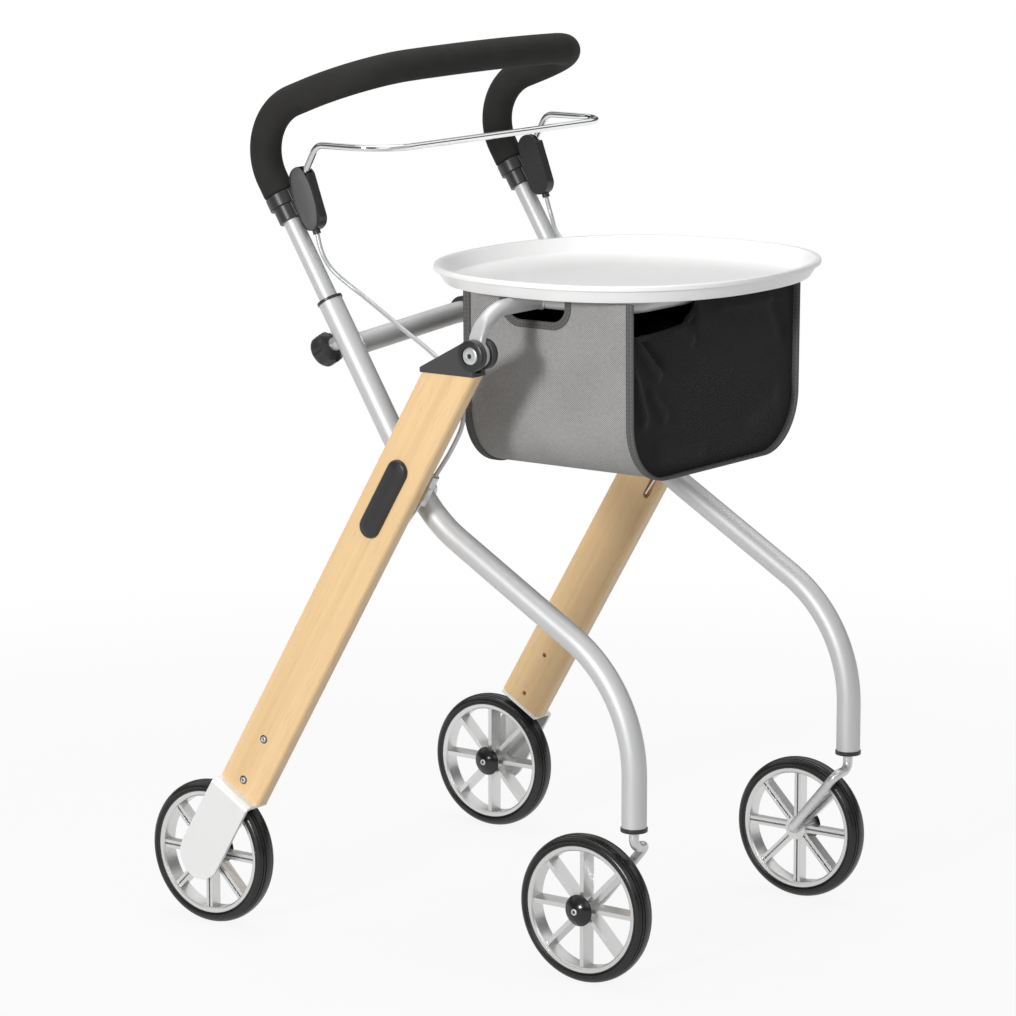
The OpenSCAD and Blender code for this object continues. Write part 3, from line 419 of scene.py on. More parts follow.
def woven(name, tint, light, dark, pitch, depth, sheen=0.0):
    """Cloth whose diagonal rib follows its own UV map, in metres."""
    finish = Finish(name, tint, 0.85, specular_ior_level=0.25, sheen_weight=sheen)
    spot = finish.place(output="UV")
    across = finish.axis(spot, 0)
    along = finish.axis(spot, 1)
    rib = (across + along * 1.5).wave(pitch)
    yarn = (across - along).wave(pitch / 2)
    weave = rib * 0.8 + yarn * 0.2
    slub = finish.noise(spot, 260.0, 3.0, 0.6)
    wear = finish.noise(spot, 16.0, 3.0, 0.5)
    tone = (weave * 0.8 + slub * 0.4 + wear * 0.3 - 0.25).clamped()
    finish.feed("Base Color", finish.mix(tone, shade(tint, dark), shade(tint, light)))
    finish.bump(weave, depth, 0.0005)
    return finish


def bag_twill(tints):
    """Coarse grey cloth of the bag's sides."""
    return woven("bag_twill", tints.twill, 1.5, 0.5, TWILL_PITCH, 0.9)


def bag_nylon(tints):
    """Black cloth of the bag's panels, with a faint sheen."""
    return woven("bag_nylon", tints.nylon, 3.0, 0.45, NYLON_PITCH, 0.9, 0.05)


def bag_lining(tints):
    """Dull black coating on the cloth's inside."""
    return Finish("bag_lining", shade(tints.nylon, 0.7), 0.8, specular_ior_level=0.2)


def bag_binding(tints):
    """Ribbed tape with a lighter row of stitches near each edge."""
    finish = Finish("bag_binding", tints.binding, 0.85, specular_ior_level=0.25)
    spot = finish.place(output="UV")
    along = finish.axis(spot, 0)
    across = finish.axis(spot, 1)
    rib = along.wave(RIB_PITCH)
    stitch = along.sine(STITCH_PITCH).step(-0.3, 0.1)
    row = 1.0 - abs(abs(across - 0.5) - STITCH_ROW).step(0.040, 0.075)
    thread = stitch * row
    cloth = finish.mix(rib, shade(tints.binding, 0.75), shade(tints.binding, 1.35))
    finish.feed("Base Color", finish.mix(thread * 0.7, cloth, shade(tints.binding, 1.9)))
    finish.bump(rib * 0.4 + thread, 0.5, 0.0005)
    return finish


def tray_white(tints):
    """Semi-gloss white plastic."""
    finish = Finish("tray_white", tints.tray, 0.34, coat_weight=0.15, coat_roughness=0.15)
    finish.feed("Roughness", finish.noise(finish.place(), 300.0, 2.0) * 0.08 + 0.30)
    return finish


def rim_silver(tints):
    """Silver paint on plastic: half metal, with a fine flake."""
    finish = Finish("rim_silver", tints.rim, 0.3, 0.85)
    flake = finish.noise(finish.place(), 1600.0, 1.0)
    finish.feed("Roughness", flake * 0.12 + 0.24)
    return finish


def tyre_rubber(tints):
    """Smooth rubber with faint dust."""
    finish = Finish("tyre", tints.tyre, 0.36, specular_ior_level=0.5)
    dust = finish.noise(finish.place(), 120.0, 4.0)
    finish.feed("Base Color", finish.mix(dust, shade(tints.tyre, 0.8), shade(tints.tyre, 1.35)))
    finish.feed("Roughness", dust * 0.16 + 0.20)
    return finish


FINISHES = {
    "satin_aluminium": satin_aluminium, "bracket_aluminium": bracket_aluminium,
    "steel": steel, "dark_steel": dark_steel, "chrome": chrome,
    "black_plastic": black_plastic, "lit_cap_plastic": lit_cap_plastic, "hub_plastic": hub_plastic,
    "cover_plastic": cover_plastic, "foam": foam, "beech": beech, "cable_sheath": cable_sheath,
    "bag_cloth": bag_twill, "bag_nylon": bag_nylon, "bag_lining": bag_lining, "bag_binding": bag_binding,
    "tray_white": tray_white, "rim_silver": rim_silver, "tyre": tyre_rubber,
}
MADE = {}


def finish_for(slot):
    """The material of a slot, made once."""
    if slot not in MADE:
        MADE[slot] = FINISHES[slot](bpy.context.scene.walker_colours).material
    return MADE[slot]


def finish_of(node):
    """The material of a solid: that of its slot, unless its kind has a look of its own."""
    return finish_for(LOOK_OF.get(node.split("_", 1)[-1], SLOT_OF[node]))


# Shapes

MIN_BEND_STEPS = 8
CORNER_SHARE = 0.48
HEAD_SIDES = 48
HEAD_STEPS = 6
# Shares of a screw head's height and radius, and of its socket's
HEAD_SUNK = 0.5
HEAD_ROUND = 0.18
HEAD_RISE = 0.8
SOCKET_RIM = 1.10
SOCKET_RIM_LEVEL = 0.94
SOCKET_TIP = 0.02


def circle(steps):
    """Angles round a full circle."""
    return np.linspace(0.0, 2 * math.pi, steps, endpoint=False)


def quarter(steps):
    """Angles from 0 to a right angle."""
    return np.linspace(0.0, math.pi / 2, steps)


def unit(vectors):
    """Vectors brought to length 1."""
    return vectors / np.linalg.norm(vectors, axis=-1, keepdims=True)


def signed_power(values, power):
    """Powers that keep the sign of their base."""
    return np.sign(values) * np.abs(values) ** power


def ease(share):
    """Smooth rise between 0 and 1 with level ends."""
    return share * share * (3 - 2 * share)


def signed_volume(grid, quads):
    """Six times the volume between quads and the middle of their grid: positive where they face outwards."""
    a, b, c, d = np.moveaxis((grid - grid.mean(axis=(0, 1))).reshape(-1, 3)[quads.reshape(-1, 4)], 1, 0)
    return np.sum(a * (np.cross(b, c) + np.cross(c, d)))


class Shell:
    """Grid patches that together make the mesh of one piece."""

    def __init__(self):
        self.points = []
        self.faces = []
        self.uvs = []
        self.count = 0

    def patch(self, grid, wrap_rows=False, wrap_cols=False, caps=False, uv=None):
        """Adds a grid of rows x cols points with quads between neighbours, and flat caps on its end rows.

        The faces of a grid that closes on itself are turned outwards."""
        rows, cols = grid.shape[:2]
        i = np.arange(rows if wrap_rows else rows - 1)[:, None]
        j = np.arange(cols if wrap_cols else cols - 1)[None, :]
        below = (i + 1) % rows
        after = (j + 1) % cols
        quads = np.stack([i * cols + j, below * cols + j, below * cols + after, i * cols + after], axis=-1)
        faces = quads.reshape(-1, 4).tolist()
        if caps:
            faces.append(list(range(cols)))
            faces.append(list(range(rows * cols - 1, (rows - 1) * cols - 1, -1)))
        step = -1 if wrap_cols and signed_volume(grid, quads) < 0 else 1
        self.faces += [[corner + self.count for corner in face[::step]] for face in faces]
        self.points.append(grid.reshape(-1, 3))
        self.uvs.append(np.zeros((rows * cols, 2)) if uv is None else uv.reshape(-1, 2))
        self.count += rows * cols
        return self

    def rod(self, grid, uv=None):
        """Adds a grid whose rows close into rings, with flat ends."""
        return self.patch(grid, wrap_cols=True, caps=True, uv=uv)

    def hoop(self, grid):
        """Adds a grid that closes both ways."""
        return self.patch(grid, wrap_rows=True, wrap_cols=True)

    def build(self, name, body, slot, finishes=None, side=1.0, sharp=SHARP_ANGLE, replaces=()):
        """Makes the object. A side of -1 gives the mirror image, with its faces turned back outwards.

        A piece without a body is left without a parent."""
        points = np.concatenate(self.points) * (side, 1.0, 1.0)
        faces = self.faces if side > 0 else [face[::-1] for face in self.faces]
        mesh = bpy.data.meshes.new(name)
        mesh.from_pydata(points.tolist(), [], faces)
        corner = np.zeros(len(mesh.loops), dtype=np.int32)
        mesh.loops.foreach_get("vertex_index", corner)
        mesh.uv_layers.new(name="UVMap").data.foreach_set(
            "uv", np.concatenate(self.uvs)[corner].astype(np.float32).ravel())
        mesh.polygons.foreach_set("use_smooth", np.ones(len(mesh.polygons), dtype=bool))
        mesh.set_sharp_from_angle(angle=math.radians(sharp))
        for finish in finishes or (slot,):
            mesh.materials.append(finish_for(finish))
        piece = bpy.data.objects.new(name, mesh)
        bpy.context.scene.collection.objects.link(piece)
        if body:
            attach(piece, body)
        if replaces:
            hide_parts(*replaces)
        return piece


def turn_x(degrees):
    """Rotation about X."""
    return np.array(Matrix.Rotation(math.radians(degrees), 3, "X"))


def turn_z(degrees):
    """Rotation about Z."""
    return np.array(Matrix.Rotation(math.radians(degrees), 3, "Z"))


def turns_y(radians):
    """Rotations about Y, one for each angle of an array."""
    cos, sin = np.cos(radians), np.sin(radians)
    zero, one = np.zeros_like(radians), np.ones_like(radians)
    rows = [(cos, zero, sin), (zero, one, zero), (-sin, zero, cos)]
    return np.stack([np.stack(row, axis=-1) for row in rows], axis=-2)


def bent_line(start, axes, rows, step):
    """Middle line of a bent tube and its cross directions.

    Each row is a straight length, a roll, a bend angle and a bend radius. The roll turns the plane of the
    next bend, and is taken out of the cross directions again so that they never twist."""
    spots, crosses, rolled = [], [], 0.0
    for straight, roll, bend, radius in rows:
        run = np.linspace(0.0, straight, max(2, int(straight / step) + 1))[1 if spots else 0:]
        spots.append(start + run[:, None] * axes[:, 2])
        crosses.append(np.broadcast_to(axes @ turn_z(-rolled), (len(run), 3, 3)))
        start = start + straight * axes[:, 2]
        axes = axes @ turn_z(roll)
        rolled += roll
        if bend:
            count = max(MIN_BEND_STEPS, int(math.radians(bend) * radius / step))
            swing = np.radians(np.linspace(0.0, bend, count + 1))[1:]
            spots.append(start + radius * ((1 - np.cos(swing))[:, None] * axes[:, 0]
                                           + np.sin(swing)[:, None] * axes[:, 2]))
            crosses.append(axes @ turns_y(swing) @ turn_z(-rolled))
            start = spots[-1][-1]
            axes = axes @ turns_y(swing)[-1]
    return np.concatenate(spots), np.concatenate(crosses)


def arc_length(line):
    """Distance along a line at each of its points."""
    return np.concatenate([[0.0], np.cumsum(np.linalg.norm(np.diff(line, axis=0), axis=1))])


def rings_on(line, crosses, radius, sides):
    """Circles round a line: middle + radius x (cos t x first cross + sin t x second cross)."""
    t = circle(sides)
    radius = np.broadcast_to(radius, len(line))[:, None, None]
    return line[:, None] + radius * (np.cos(t)[:, None] * crosses[:, None, :, 0]
                                     + np.sin(t)[:, None] * crosses[:, None, :, 1])


def smooth_route(points, steps):
    """A smooth line through points: cubics whose slope at each point is that between its two neighbours."""
    padded = np.concatenate([points[:1], points, points[-1:]])
    a, b, c, d = padded[:-3, None], padded[1:-2, None], padded[2:-1, None], padded[3:, None]
    t = np.linspace(0.0, 1.0, steps, endpoint=False)[None, :, None]
    line = 0.5 * (2 * b + (c - a) * t + (2 * a - 5 * b + 4 * c - d) * t ** 2
                  + (3 * b - a - 3 * c + d) * t ** 3)
    return np.concatenate([line.reshape(-1, 3), points[-1:]])


def crosses_of(line):
    """Cross directions of a line that never runs along X: tangent x X, and tangent x that."""
    tangent = unit(np.gradient(line, axis=0))
    first = unit(np.cross(tangent, [1.0, 0.0, 0.0]))
    return np.stack([first, np.cross(tangent, first), tangent], axis=-1)


def rounded_line(corners, cut, steps):
    """A polyline whose inner corners become short curves that start and end a cut away from each corner."""
    corners = np.array(corners, dtype=float)
    before = corners[:-2] - corners[1:-1]
    after = corners[2:] - corners[1:-1]
    reach_in = np.minimum(cut, CORNER_SHARE * np.linalg.norm(before, axis=1))[:, None]
    reach_out = np.minimum(cut, CORNER_SHARE * np.linalg.norm(after, axis=1))[:, None]
    first = corners[1:-1] + unit(before) * reach_in
    last = corners[1:-1] + unit(after) * reach_out
    t = np.linspace(0.0, 1.0, steps)[None, :, None]
    curve = (1 - t) ** 2 * first[:, None] + 2 * t * (1 - t) * corners[1:-1, None] + t ** 2 * last[:, None]
    return np.concatenate([corners[:1], curve.reshape(-1, corners.shape[1]), corners[-1:]])


def revolved(profile, steps, middle, axis_sign=1.0):
    """A profile of [radius, place along the axle] turned about an axle along X through a middle."""
    t = circle(steps)
    radius, place = profile[:, 0][:, None], profile[:, 1][:, None]
    return middle + np.stack([np.broadcast_to(axis_sign * place, (len(profile), steps)),
                              radius * np.cos(t), radius * np.sin(t) * axis_sign], axis=-1)


def stadium(length_m, width_m, inset, steps):
    """Points round a pill outline: two half circles whose middles lie length - width apart."""
    t = circle(4 * steps) + math.pi / (4 * steps)
    reach = (length_m - width_m) / 2
    radius = width_m / 2 - inset
    return np.stack([radius * np.sin(t), radius * np.cos(t) + reach * np.sign(np.cos(t))], axis=-1)


def socket_head(middle, out, across, radius, height, key, deep):
    """A screw head: a low dome with a six-sided socket.

    Rings run from the outer edge over the dome to the socket's edge, down its wall and to its floor. The
    socket's radius is key / cos(angle from the nearest flat)."""
    t = circle(HEAD_SIDES)
    flat = key / np.cos(np.mod(t, math.pi / 3) - math.pi / 6)
    dome = [(radius, -height * HEAD_SUNK)]
    dome += [(radius * (1 - HEAD_ROUND + HEAD_ROUND * math.cos(a)), height * math.sin(a) * HEAD_RISE)
             for a in quarter(HEAD_STEPS)]
    rings = [(np.full_like(t, r), z) for r, z in dome]
    rings += [(flat * SOCKET_RIM, height), (flat, height * SOCKET_RIM_LEVEL), (flat, height - deep),
              (flat * SOCKET_TIP, height - deep)]
    way = np.cos(t)[:, None] * across + np.sin(t)[:, None] * np.cross(out, across)
    return np.stack([middle + r[:, None] * way + z * out for r, z in rings])


# Cables

# Middle of the right gland and of the right adjuster, and shares of the way between them.
SHEATH_TOP = np.array([-0.197, 0.120858, 0.719127])
SHEATH_LOW = np.array([-0.228, -0.049982, 0.495117])
SHEATH_SHARES = np.array([
    [0.0, 0.0, 0.0], [0.0, 0.04, 0.09], [-0.148, 0.109, 0.17], [-0.348, 0.308, 0.275], [0.326, 0.659, 0.372],
    [0.97, 1.02, 0.48], [1.0, 1.17, 0.61], [1.0, 1.20, 0.74], [1.0, 1.12, 0.87], [1.0, 1.0, 1.0],
])
SHEATH_SPLIT = 4
SHEATH_STEPS = 10
SHEATH_SIDES = 16


class WALKER_OT_cables(Operator):
    """Sweep both brake cables along their routes, in two stretches each"""
    bl_idname = "walker.cables"
    bl_label = "Brake cables"

    def execute(self, context):
        diameter = context.scene.walker_sizes.cable_d
        line = smooth_route(SHEATH_TOP + SHEATH_SHARES * (SHEATH_LOW - SHEATH_TOP), SHEATH_STEPS)
        crosses = crosses_of(line)
        split = SHEATH_SPLIT * SHEATH_STEPS
        around = np.linspace(0, 1, SHEATH_SIDES)
        for side, sign in SIDES:
            stretches = (("upper", slice(0, split + 1), "handle", "frame"),
                         ("lower", slice(split, None), "frame", f"{side}_leg"))
            for name, part, first, second in stretches:
                path = line[part]
                grid = rings_on(path, crosses[part], diameter / 2, SHEATH_SIDES)
                uv = np.stack(np.meshgrid(arc_length(path), around, indexing="ij"), axis=-1)
                piece = Shell().rod(grid, uv).build(f"{side}_cable_{name}", None, "cable_sheath", side=sign,
                                                    replaces=(f"{side}_brake_cable",))
                path = path * (sign, 1.0, 1.0)
                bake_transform(piece)
        return {"FINISHED"}


# Grip

TUBE_TOP = np.array([-0.197, 0.104690, 0.652156])
TUBE_LEAN = 31.7
FOAM_START = 0.121
FOAM_TURN = 100.7
FOAM_CORNER = 85.0
FOAM_BOW = 10.0
FOAM_SIDE_R = 0.055
FOAM_CORNER_R = 0.078
FOAM_ARM = 0.020
FOAM_LAND = 0.004
FOAM_FIRST = 0.019
HANDLE_BORE_R = 0.00955
GRIP_SIDES = 48
GRIP_STEP = 0.003
GRIP_END_STEPS = 9


class WALKER_OT_grip(Operator):
    """Sweep the foam grip round the handle, with rounded ends"""
    bl_idname = "walker.grip"
    bl_label = "Foam grip"

    def execute(self, context):
        sizes = context.scene.walker_sizes
        axes = turn_x(-TUBE_LEAN)
        half_bow = math.radians(FOAM_BOW / 2)
        reach = -TUBE_TOP[0] - FOAM_CORNER_R * (1 - math.cos(math.radians(FOAM_CORNER)))
        bow_r = (reach - FOAM_LAND * math.cos(half_bow)) / math.sin(half_bow)
        rows = [
            (FOAM_FIRST, -90.0, FOAM_TURN, FOAM_SIDE_R), (FOAM_ARM, 90.0, FOAM_CORNER, FOAM_CORNER_R),
            (FOAM_LAND, 0.0, FOAM_BOW, bow_r), (FOAM_LAND, 0.0, FOAM_CORNER, FOAM_CORNER_R),
            (FOAM_ARM, -90.0, FOAM_TURN, FOAM_SIDE_R), (FOAM_FIRST, 0.0, 0.0, 0.0),
        ]
        line, crosses = bent_line(TUBE_TOP + FOAM_START * axes[:, 2], axes, rows, GRIP_STEP)
        along = arc_length(line)
        soft = sizes.grip_end_round
        end = soft * (1 - np.cos(quarter(GRIP_END_STEPS)))
        inner = along[(along > soft) & (along < along[-1] - soft)]
        stations = np.unique(np.concatenate([inner, end, along[-1] - end]))
        spots = np.stack([np.interp(stations, along, line[:, k]) for k in range(3)], axis=-1)
        crosses = crosses[np.clip(np.searchsorted(along, stations), 0, len(along) - 1)]
        depth = np.clip(soft - np.minimum(stations, along[-1] - stations), 0.0, soft)
        radius = sizes.grip_d / 2 - soft + np.sqrt(soft ** 2 - depth ** 2)
        outer = rings_on(spots, crosses, radius, GRIP_SIDES)
        bore = rings_on(spots, crosses, HANDLE_BORE_R, GRIP_SIDES)
        shell = Shell().hoop(np.concatenate([outer, bore[::-1]]))
        piece = shell.build("foam_grip", "handle", "foam", replaces=("grip_foam",), sharp=60.0)
        return {"FINISHED"}


# Tray arms and welds

LOOP_R = (LOOP_HIGH[2] - LOOP_LOW[2]) / 2
LOOP_SIDE = LOOP_LOW[0] + LOOP_R
ARM_ANGLE = 55.0
EYE_R = 0.013
EYE_T = 0.0084
EYE_TOP = 0.0132
EYE_REACH = 0.0158
EYE_BLEND = 0.022
EYE_POWER = 7.0
EYE_TIP = 0.0004
NECK_R = 0.0085
EYE_STEPS = 41
NECK_STEPS = 9
BEND_STEPS = 30
LEVEL_STEPS = 15
ARM_SIDES = 48
TUBE_R = 0.0125
CROSSBAR_R = 0.011
CROSSBAR_LIFT = 4.6
CROSSBAR_END = np.array([-0.197, 0.078207, 0.609275])
BEAD_R = 0.0017
BEAD_STEPS = 96
BEAD_SIDES = 10
BEAD_RIPPLES = 22
BEAD_RIPPLE = 0.10
ARM_BEAD_SHARE = 0.98


def arm_line():
    """Middle line of a tray arm: up through the hinge, a short bend, a long one, and level to the loop."""
    rise = np.concatenate([np.linspace(-1.0, 1.0, EYE_STEPS) ** 3 * EYE_R, [EYE_TOP]])
    eye = np.stack([np.zeros_like(rise), rise], axis=-1)
    lean = math.radians(90.0 - ARM_ANGLE)
    swing = np.linspace(0.0, lean, NECK_STEPS)[1:]
    neck = eye[-1] + NECK_R * np.stack([1 - np.cos(swing), np.sin(swing)], axis=-1)
    bend_r = (LOOP_Z - HINGE[2] - neck[-1, 1]) / (1 - math.sin(lean))
    swing = np.linspace(lean, math.pi / 2, BEND_STEPS)[1:]
    bend = neck[-1] + bend_r * np.stack([math.cos(lean) - np.cos(swing),
                                         np.sin(swing) - math.sin(lean)], axis=-1)
    end = np.linspace(bend[-1, 0], LOOP_SIDE - HINGE[0], LEVEL_STEPS + 1)[1:]
    flat = np.concatenate([eye, neck, bend, np.stack([end, np.full_like(end, bend[-1, 1])], axis=-1)])
    return np.stack([HINGE[0] + flat[:, 0], np.full(len(flat), HINGE[1]), HINGE[2] + flat[:, 1]], axis=-1)


def arm_grid():
    """A tray arm: a superellipse of changing thickness, width and power carried along its middle line.

    Thickness and power go from the flat eye to the round tube; the width follows the round eye first. The
    last rings lie on the loop's tube."""
    line = arm_line()
    side = np.cross(REAR, unit(np.gradient(line, axis=0)))
    rise = arc_length(line) - EYE_R
    share = ease(np.clip((rise - EYE_REACH) / EYE_BLEND, 0.0, 1.0))
    eye = np.sqrt(np.clip(EYE_R ** 2 - np.minimum(rise, EYE_R) ** 2, 0.0, None))
    wide = np.where(rise < 0.0, np.maximum(eye, EYE_TIP), np.maximum(eye, LOOP_R))
    thick = EYE_T / 2 + (LOOP_R - EYE_T / 2) * share
    power = 2.0 / (EYE_POWER + (2.0 - EYE_POWER) * share)[:, None]
    t = circle(ARM_SIDES)
    u = signed_power(np.cos(t), power) * thick[:, None]
    v = signed_power(np.sin(t), power) * wide[:, None]
    grid = line[:, None] + u[..., None] * side[:, None] + v[..., None] * REAR
    drop = np.clip(LOOP_R ** 2 - (grid[-1, :, 2] - LOOP_Z) ** 2, 0.0, None)
    last = grid[-LEVEL_STEPS - 1, :, 0]
    share = np.linspace(0.0, 1.0, LEVEL_STEPS + 1)[1:, None]
    grid[-LEVEL_STEPS:, :, 0] = last + share * (LOOP_SIDE - np.sqrt(drop) - last)
    return grid


def weld_bead(start, way, radius, host, host_way, host_radius):
    """A bead along the line where a tube meets its host: a small rippled circle carried round that line.

    On each straight of the tube the line is where its distance from the host's axis is the host's radius."""
    t = circle(BEAD_STEPS)[:, None]
    first = unit(np.cross(way, host_way))
    round_way = np.cos(t) * first + np.sin(t) * np.cross(way, first)
    near = start + radius * round_way - host
    near = near - (near @ host_way)[:, None] * host_way
    step = way - (way @ host_way) * host_way
    half = near @ step / (step @ step)
    rest = (np.sum(near * near, axis=1) - host_radius ** 2) / (step @ step)
    reach = -half + np.sqrt(np.clip(half ** 2 - rest, 0.0, None))
    line = start + radius * round_way + reach[:, None] * way
    tangent = unit(np.roll(line, -1, axis=0) - np.roll(line, 1, axis=0))
    out = unit(round_way - np.sum(round_way * tangent, axis=1, keepdims=True) * tangent)
    s = circle(BEAD_SIDES)[None, :, None]
    size = (BEAD_R * (1 + BEAD_RIPPLE * np.sin(BEAD_RIPPLES * t)))[:, None]
    return line[:, None] + size * (np.cos(s) * out[:, None] + np.sin(s) * np.cross(tangent, out)[:, None])


class WALKER_OT_arms(Operator):
    """Loft the tray arms from their flat eyes to the round tube, and run the weld beads"""
    bl_idname = "walker.arms"
    bl_label = "Tray arms and welds"

    def execute(self, context):
        tube_way = turn_x(-TUBE_LEAN)[:, 2]
        lift = math.radians(CROSSBAR_LIFT)
        bar_way = np.array([math.cos(lift), 0.0, math.sin(lift)])
        bar = weld_bead(CROSSBAR_END, bar_way, CROSSBAR_R, CROSSBAR_END, tube_way, TUBE_R)
        joint = np.array([LOOP_SIDE, HINGE[1], LOOP_Z])
        arm = weld_bead(joint, OUT, LOOP_R * ARM_BEAD_SHARE, joint, REAR, LOOP_R)
        for side, sign in SIDES:
            Shell().rod(arm_grid()).hoop(arm).build(
                f"{side}_tray_arm_tube", "tray_frame", "satin_aluminium", side=sign,
                replaces=(f"{side}_tray_arm",), sharp=50.0)
            Shell().hoop(bar).build(
                f"{side}_crossbar_weld", "frame", "satin_aluminium", side=sign, sharp=80.0)
        return {"FINISHED"}


# Tray

TRAY_SIDES = 288
TRAY_LIP = 0.003
TRAY_WALL = 0.003
TRAY_FLARE = 0.008
TRAY_FOOT = 0.005
TRAY_FLOOR = 0.003
TRAY_LIP_T = 0.0055
TRAY_ROUND = 0.0017
TRAY_ROUND_STEPS = 6
LUG_SIDES = 36
LUG_D = 0.012
LUG_H = 0.006
LUG_X = 0.1234
LUG_Y = 0.040
LOOP_MIDDLE_Y = (LOOP_LOW[1] + LOOP_HIGH[1]) / 2


class WALKER_OT_tray(Operator):
    """Loft the tray: its rounded-square outline carried over the lip and down to the floor"""
    bl_idname = "walker.tray"
    bl_label = "Tray"

    def execute(self, context):
        power = context.scene.walker_sizes.tray_power
        middle = (TRAY_LOW + TRAY_HIGH) / 2
        half = (TRAY_HIGH - TRAY_LOW) / 2
        base = TRAY_LOW[2] + LUG_H
        high = TRAY_HIGH[2] - base
        profile = rounded_line([
            (TRAY_LIP + TRAY_FLARE + TRAY_FOOT, 0.0), (TRAY_LIP + TRAY_FLARE, 0.0),
            (TRAY_LIP, high - TRAY_LIP_T), (0.0, high - TRAY_LIP_T),
            (0.0, high), (TRAY_LIP + TRAY_WALL, high),
            (TRAY_LIP + TRAY_WALL + TRAY_FLARE, TRAY_FLOOR),
            (TRAY_LIP + TRAY_WALL + TRAY_FLARE + TRAY_FOOT, TRAY_FLOOR),
        ], TRAY_ROUND, TRAY_ROUND_STEPS)
        t = circle(TRAY_SIDES)
        wide, deep = half[0] - profile[:, :1], half[1] - profile[:, :1]
        reach = (np.abs(np.cos(t) / wide) ** power + np.abs(np.sin(t) / deep) ** power) ** (-1 / power)
        grid = np.stack([middle[0] + reach * np.cos(t), middle[1] + reach * np.sin(t),
                         np.broadcast_to(base + profile[:, 1:], reach.shape)], axis=-1)
        shell = Shell().rod(grid[:, ::-1])
        t = circle(LUG_SIDES)[::-1]
        ring = LUG_D / 2 * np.stack([np.cos(t), np.sin(t), np.zeros_like(t)], axis=-1)
        levels = np.array([TRAY_LOW[2], base + TRAY_FLOOR / 2])
        lug = ring + levels[:, None, None] * UP
        for x in (-LUG_X, LUG_X):
            for y in (LOOP_MIDDLE_Y - LUG_Y, LOOP_MIDDLE_Y + LUG_Y):
                shell.rod(lug + (x, y, 0.0))
        shell.build("white_tray", "tray", "tray_white", replaces=("tray",), sharp=35.0)
        return {"FINISHED"}


# Tyres

TYRE_STEPS = 192
CROWN_STEPS = 49
GROOVE_WALL = 0.1
TYRE_GROOVES = (-0.0076, -0.0048, 0.0048, 0.0076)
TYRE_GROOVE_W = 0.0011
TYRE_GROOVE_DEEP = 0.0011
SHOULDER_LINES = (-0.0100, 0.0100)
SHOULDER_LINE_W = 0.0007
SHOULDER_LINE_DEEP = 0.0005
RIM_SEAT_R = 0.06405
RIM_HALF_W = 0.010
BEAD_RISE = 0.0018
BEAD_OUT = 0.0006
BEAD_TOP = 1.15
WALL_FOOT_IN = 0.0012
WALL_TOP_IN = 0.0002
CROWN_GAP = 0.001


def tyre_profile(crown):
    """Tyre section: an elliptic crown with narrow square grooves, then sidewalls down to a raised bead."""
    radius = (TYRE_HIGH[2] - TYRE_LOW[2]) / 2
    half = (TYRE_HIGH[0] - TYRE_LOW[0]) / 2
    z = half * np.sin(np.radians(np.linspace(-90.0, 90.0, CROWN_STEPS)))
    edge = np.array([-0.5, -0.5 + GROOVE_WALL, 0.5 - GROOVE_WALL, 0.5])
    cuts = [(place, TYRE_GROOVE_W, TYRE_GROOVE_DEEP) for place in TYRE_GROOVES]
    cuts += [(place, SHOULDER_LINE_W, SHOULDER_LINE_DEEP) for place in SHOULDER_LINES]
    z = np.unique(np.concatenate([z] + [place + edge * width for place, width, _ in cuts]))
    r = radius - crown + crown * np.sqrt(np.clip(1 - (z / half) ** 2, 0.0, 1.0))
    for place, width, deep in cuts:
        r = r - deep * np.clip((0.5 - np.abs(z - place) / width) / GROOVE_WALL, 0.0, 1.0)
    foot = np.array([
        [RIM_SEAT_R, RIM_HALF_W], [RIM_SEAT_R, RIM_HALF_W + BEAD_OUT],
        [RIM_SEAT_R + BEAD_RISE, RIM_HALF_W + 2 * BEAD_OUT],
        [RIM_SEAT_R + BEAD_RISE * BEAD_TOP, half - WALL_FOOT_IN],
        [radius - crown - CROWN_GAP, half - WALL_TOP_IN],
    ])
    crown_line = np.stack([r, z], axis=-1)
    return np.concatenate([foot * (1.0, -1.0), crown_line, foot[::-1]])


class WALKER_OT_tyres(Operator):
    """Turn the tyre section about each of the four axles"""
    bl_idname = "walker.tyres"
    bl_label = "Tyres"

    def execute(self, context):
        profile = tyre_profile(context.scene.walker_sizes.tyre_crown)
        for side, _ in SIDES:
            for end in ENDS:
                node = f"{side}_{end}_tyre"
                grid = revolved(profile, TYRE_STEPS, middle_of(node))
                Shell().hoop(grid[:, ::-1]).build(
                    f"{node}_rubber", BODY_OF[node], "tyre", replaces=(node,), sharp=32.0)
        return {"FINISHED"}


# Bag

BAG_TOP = BAG_HIGH[2]
BAG_FOOT = BAG_LOW[2]
BAG_HALF = BAG_HIGH[0]
BAG_FRONT = BAG_LOW[1]
BAG_REAR = BAG_HIGH[1]
ARM_CUT_HALF = 0.037
ARM_CUT_R = 0.0185
ARM_CUT_DEEP = 0.0265
CUT_ROOM = 0.034
CUT_EDGE = 0.0004
STRIP_STEPS = 18
STRIP_COLS = 73
SIDE_HOLLOW = 0.004
RIPPLE = 0.0012
RIPPLE_ALONG = 9.0
RIPPLE_UP = 7.0
STAY_CUT_HALF = 0.0072
STAY_CUT_DEEP = 0.024
# Shares of the slit's half width, then of the front dip's depth and width
SLIT_EDGES = np.array([-1.06, -0.98, 0.98, 1.06])
MOUTH_SLOPE = 0.18
MOUTH_WAVE = 0.06
MOUTH_RISE = 0.22
FOLD_FADE = 0.25
PANEL_COLS = 161
PANEL_ROWS = 70
PANEL_ROW_POWER = 1.35
PANEL_SEAM_SIDE = 0.05
PANEL_SEAM_FOOT = 0.06
AREA_STEPS = 200
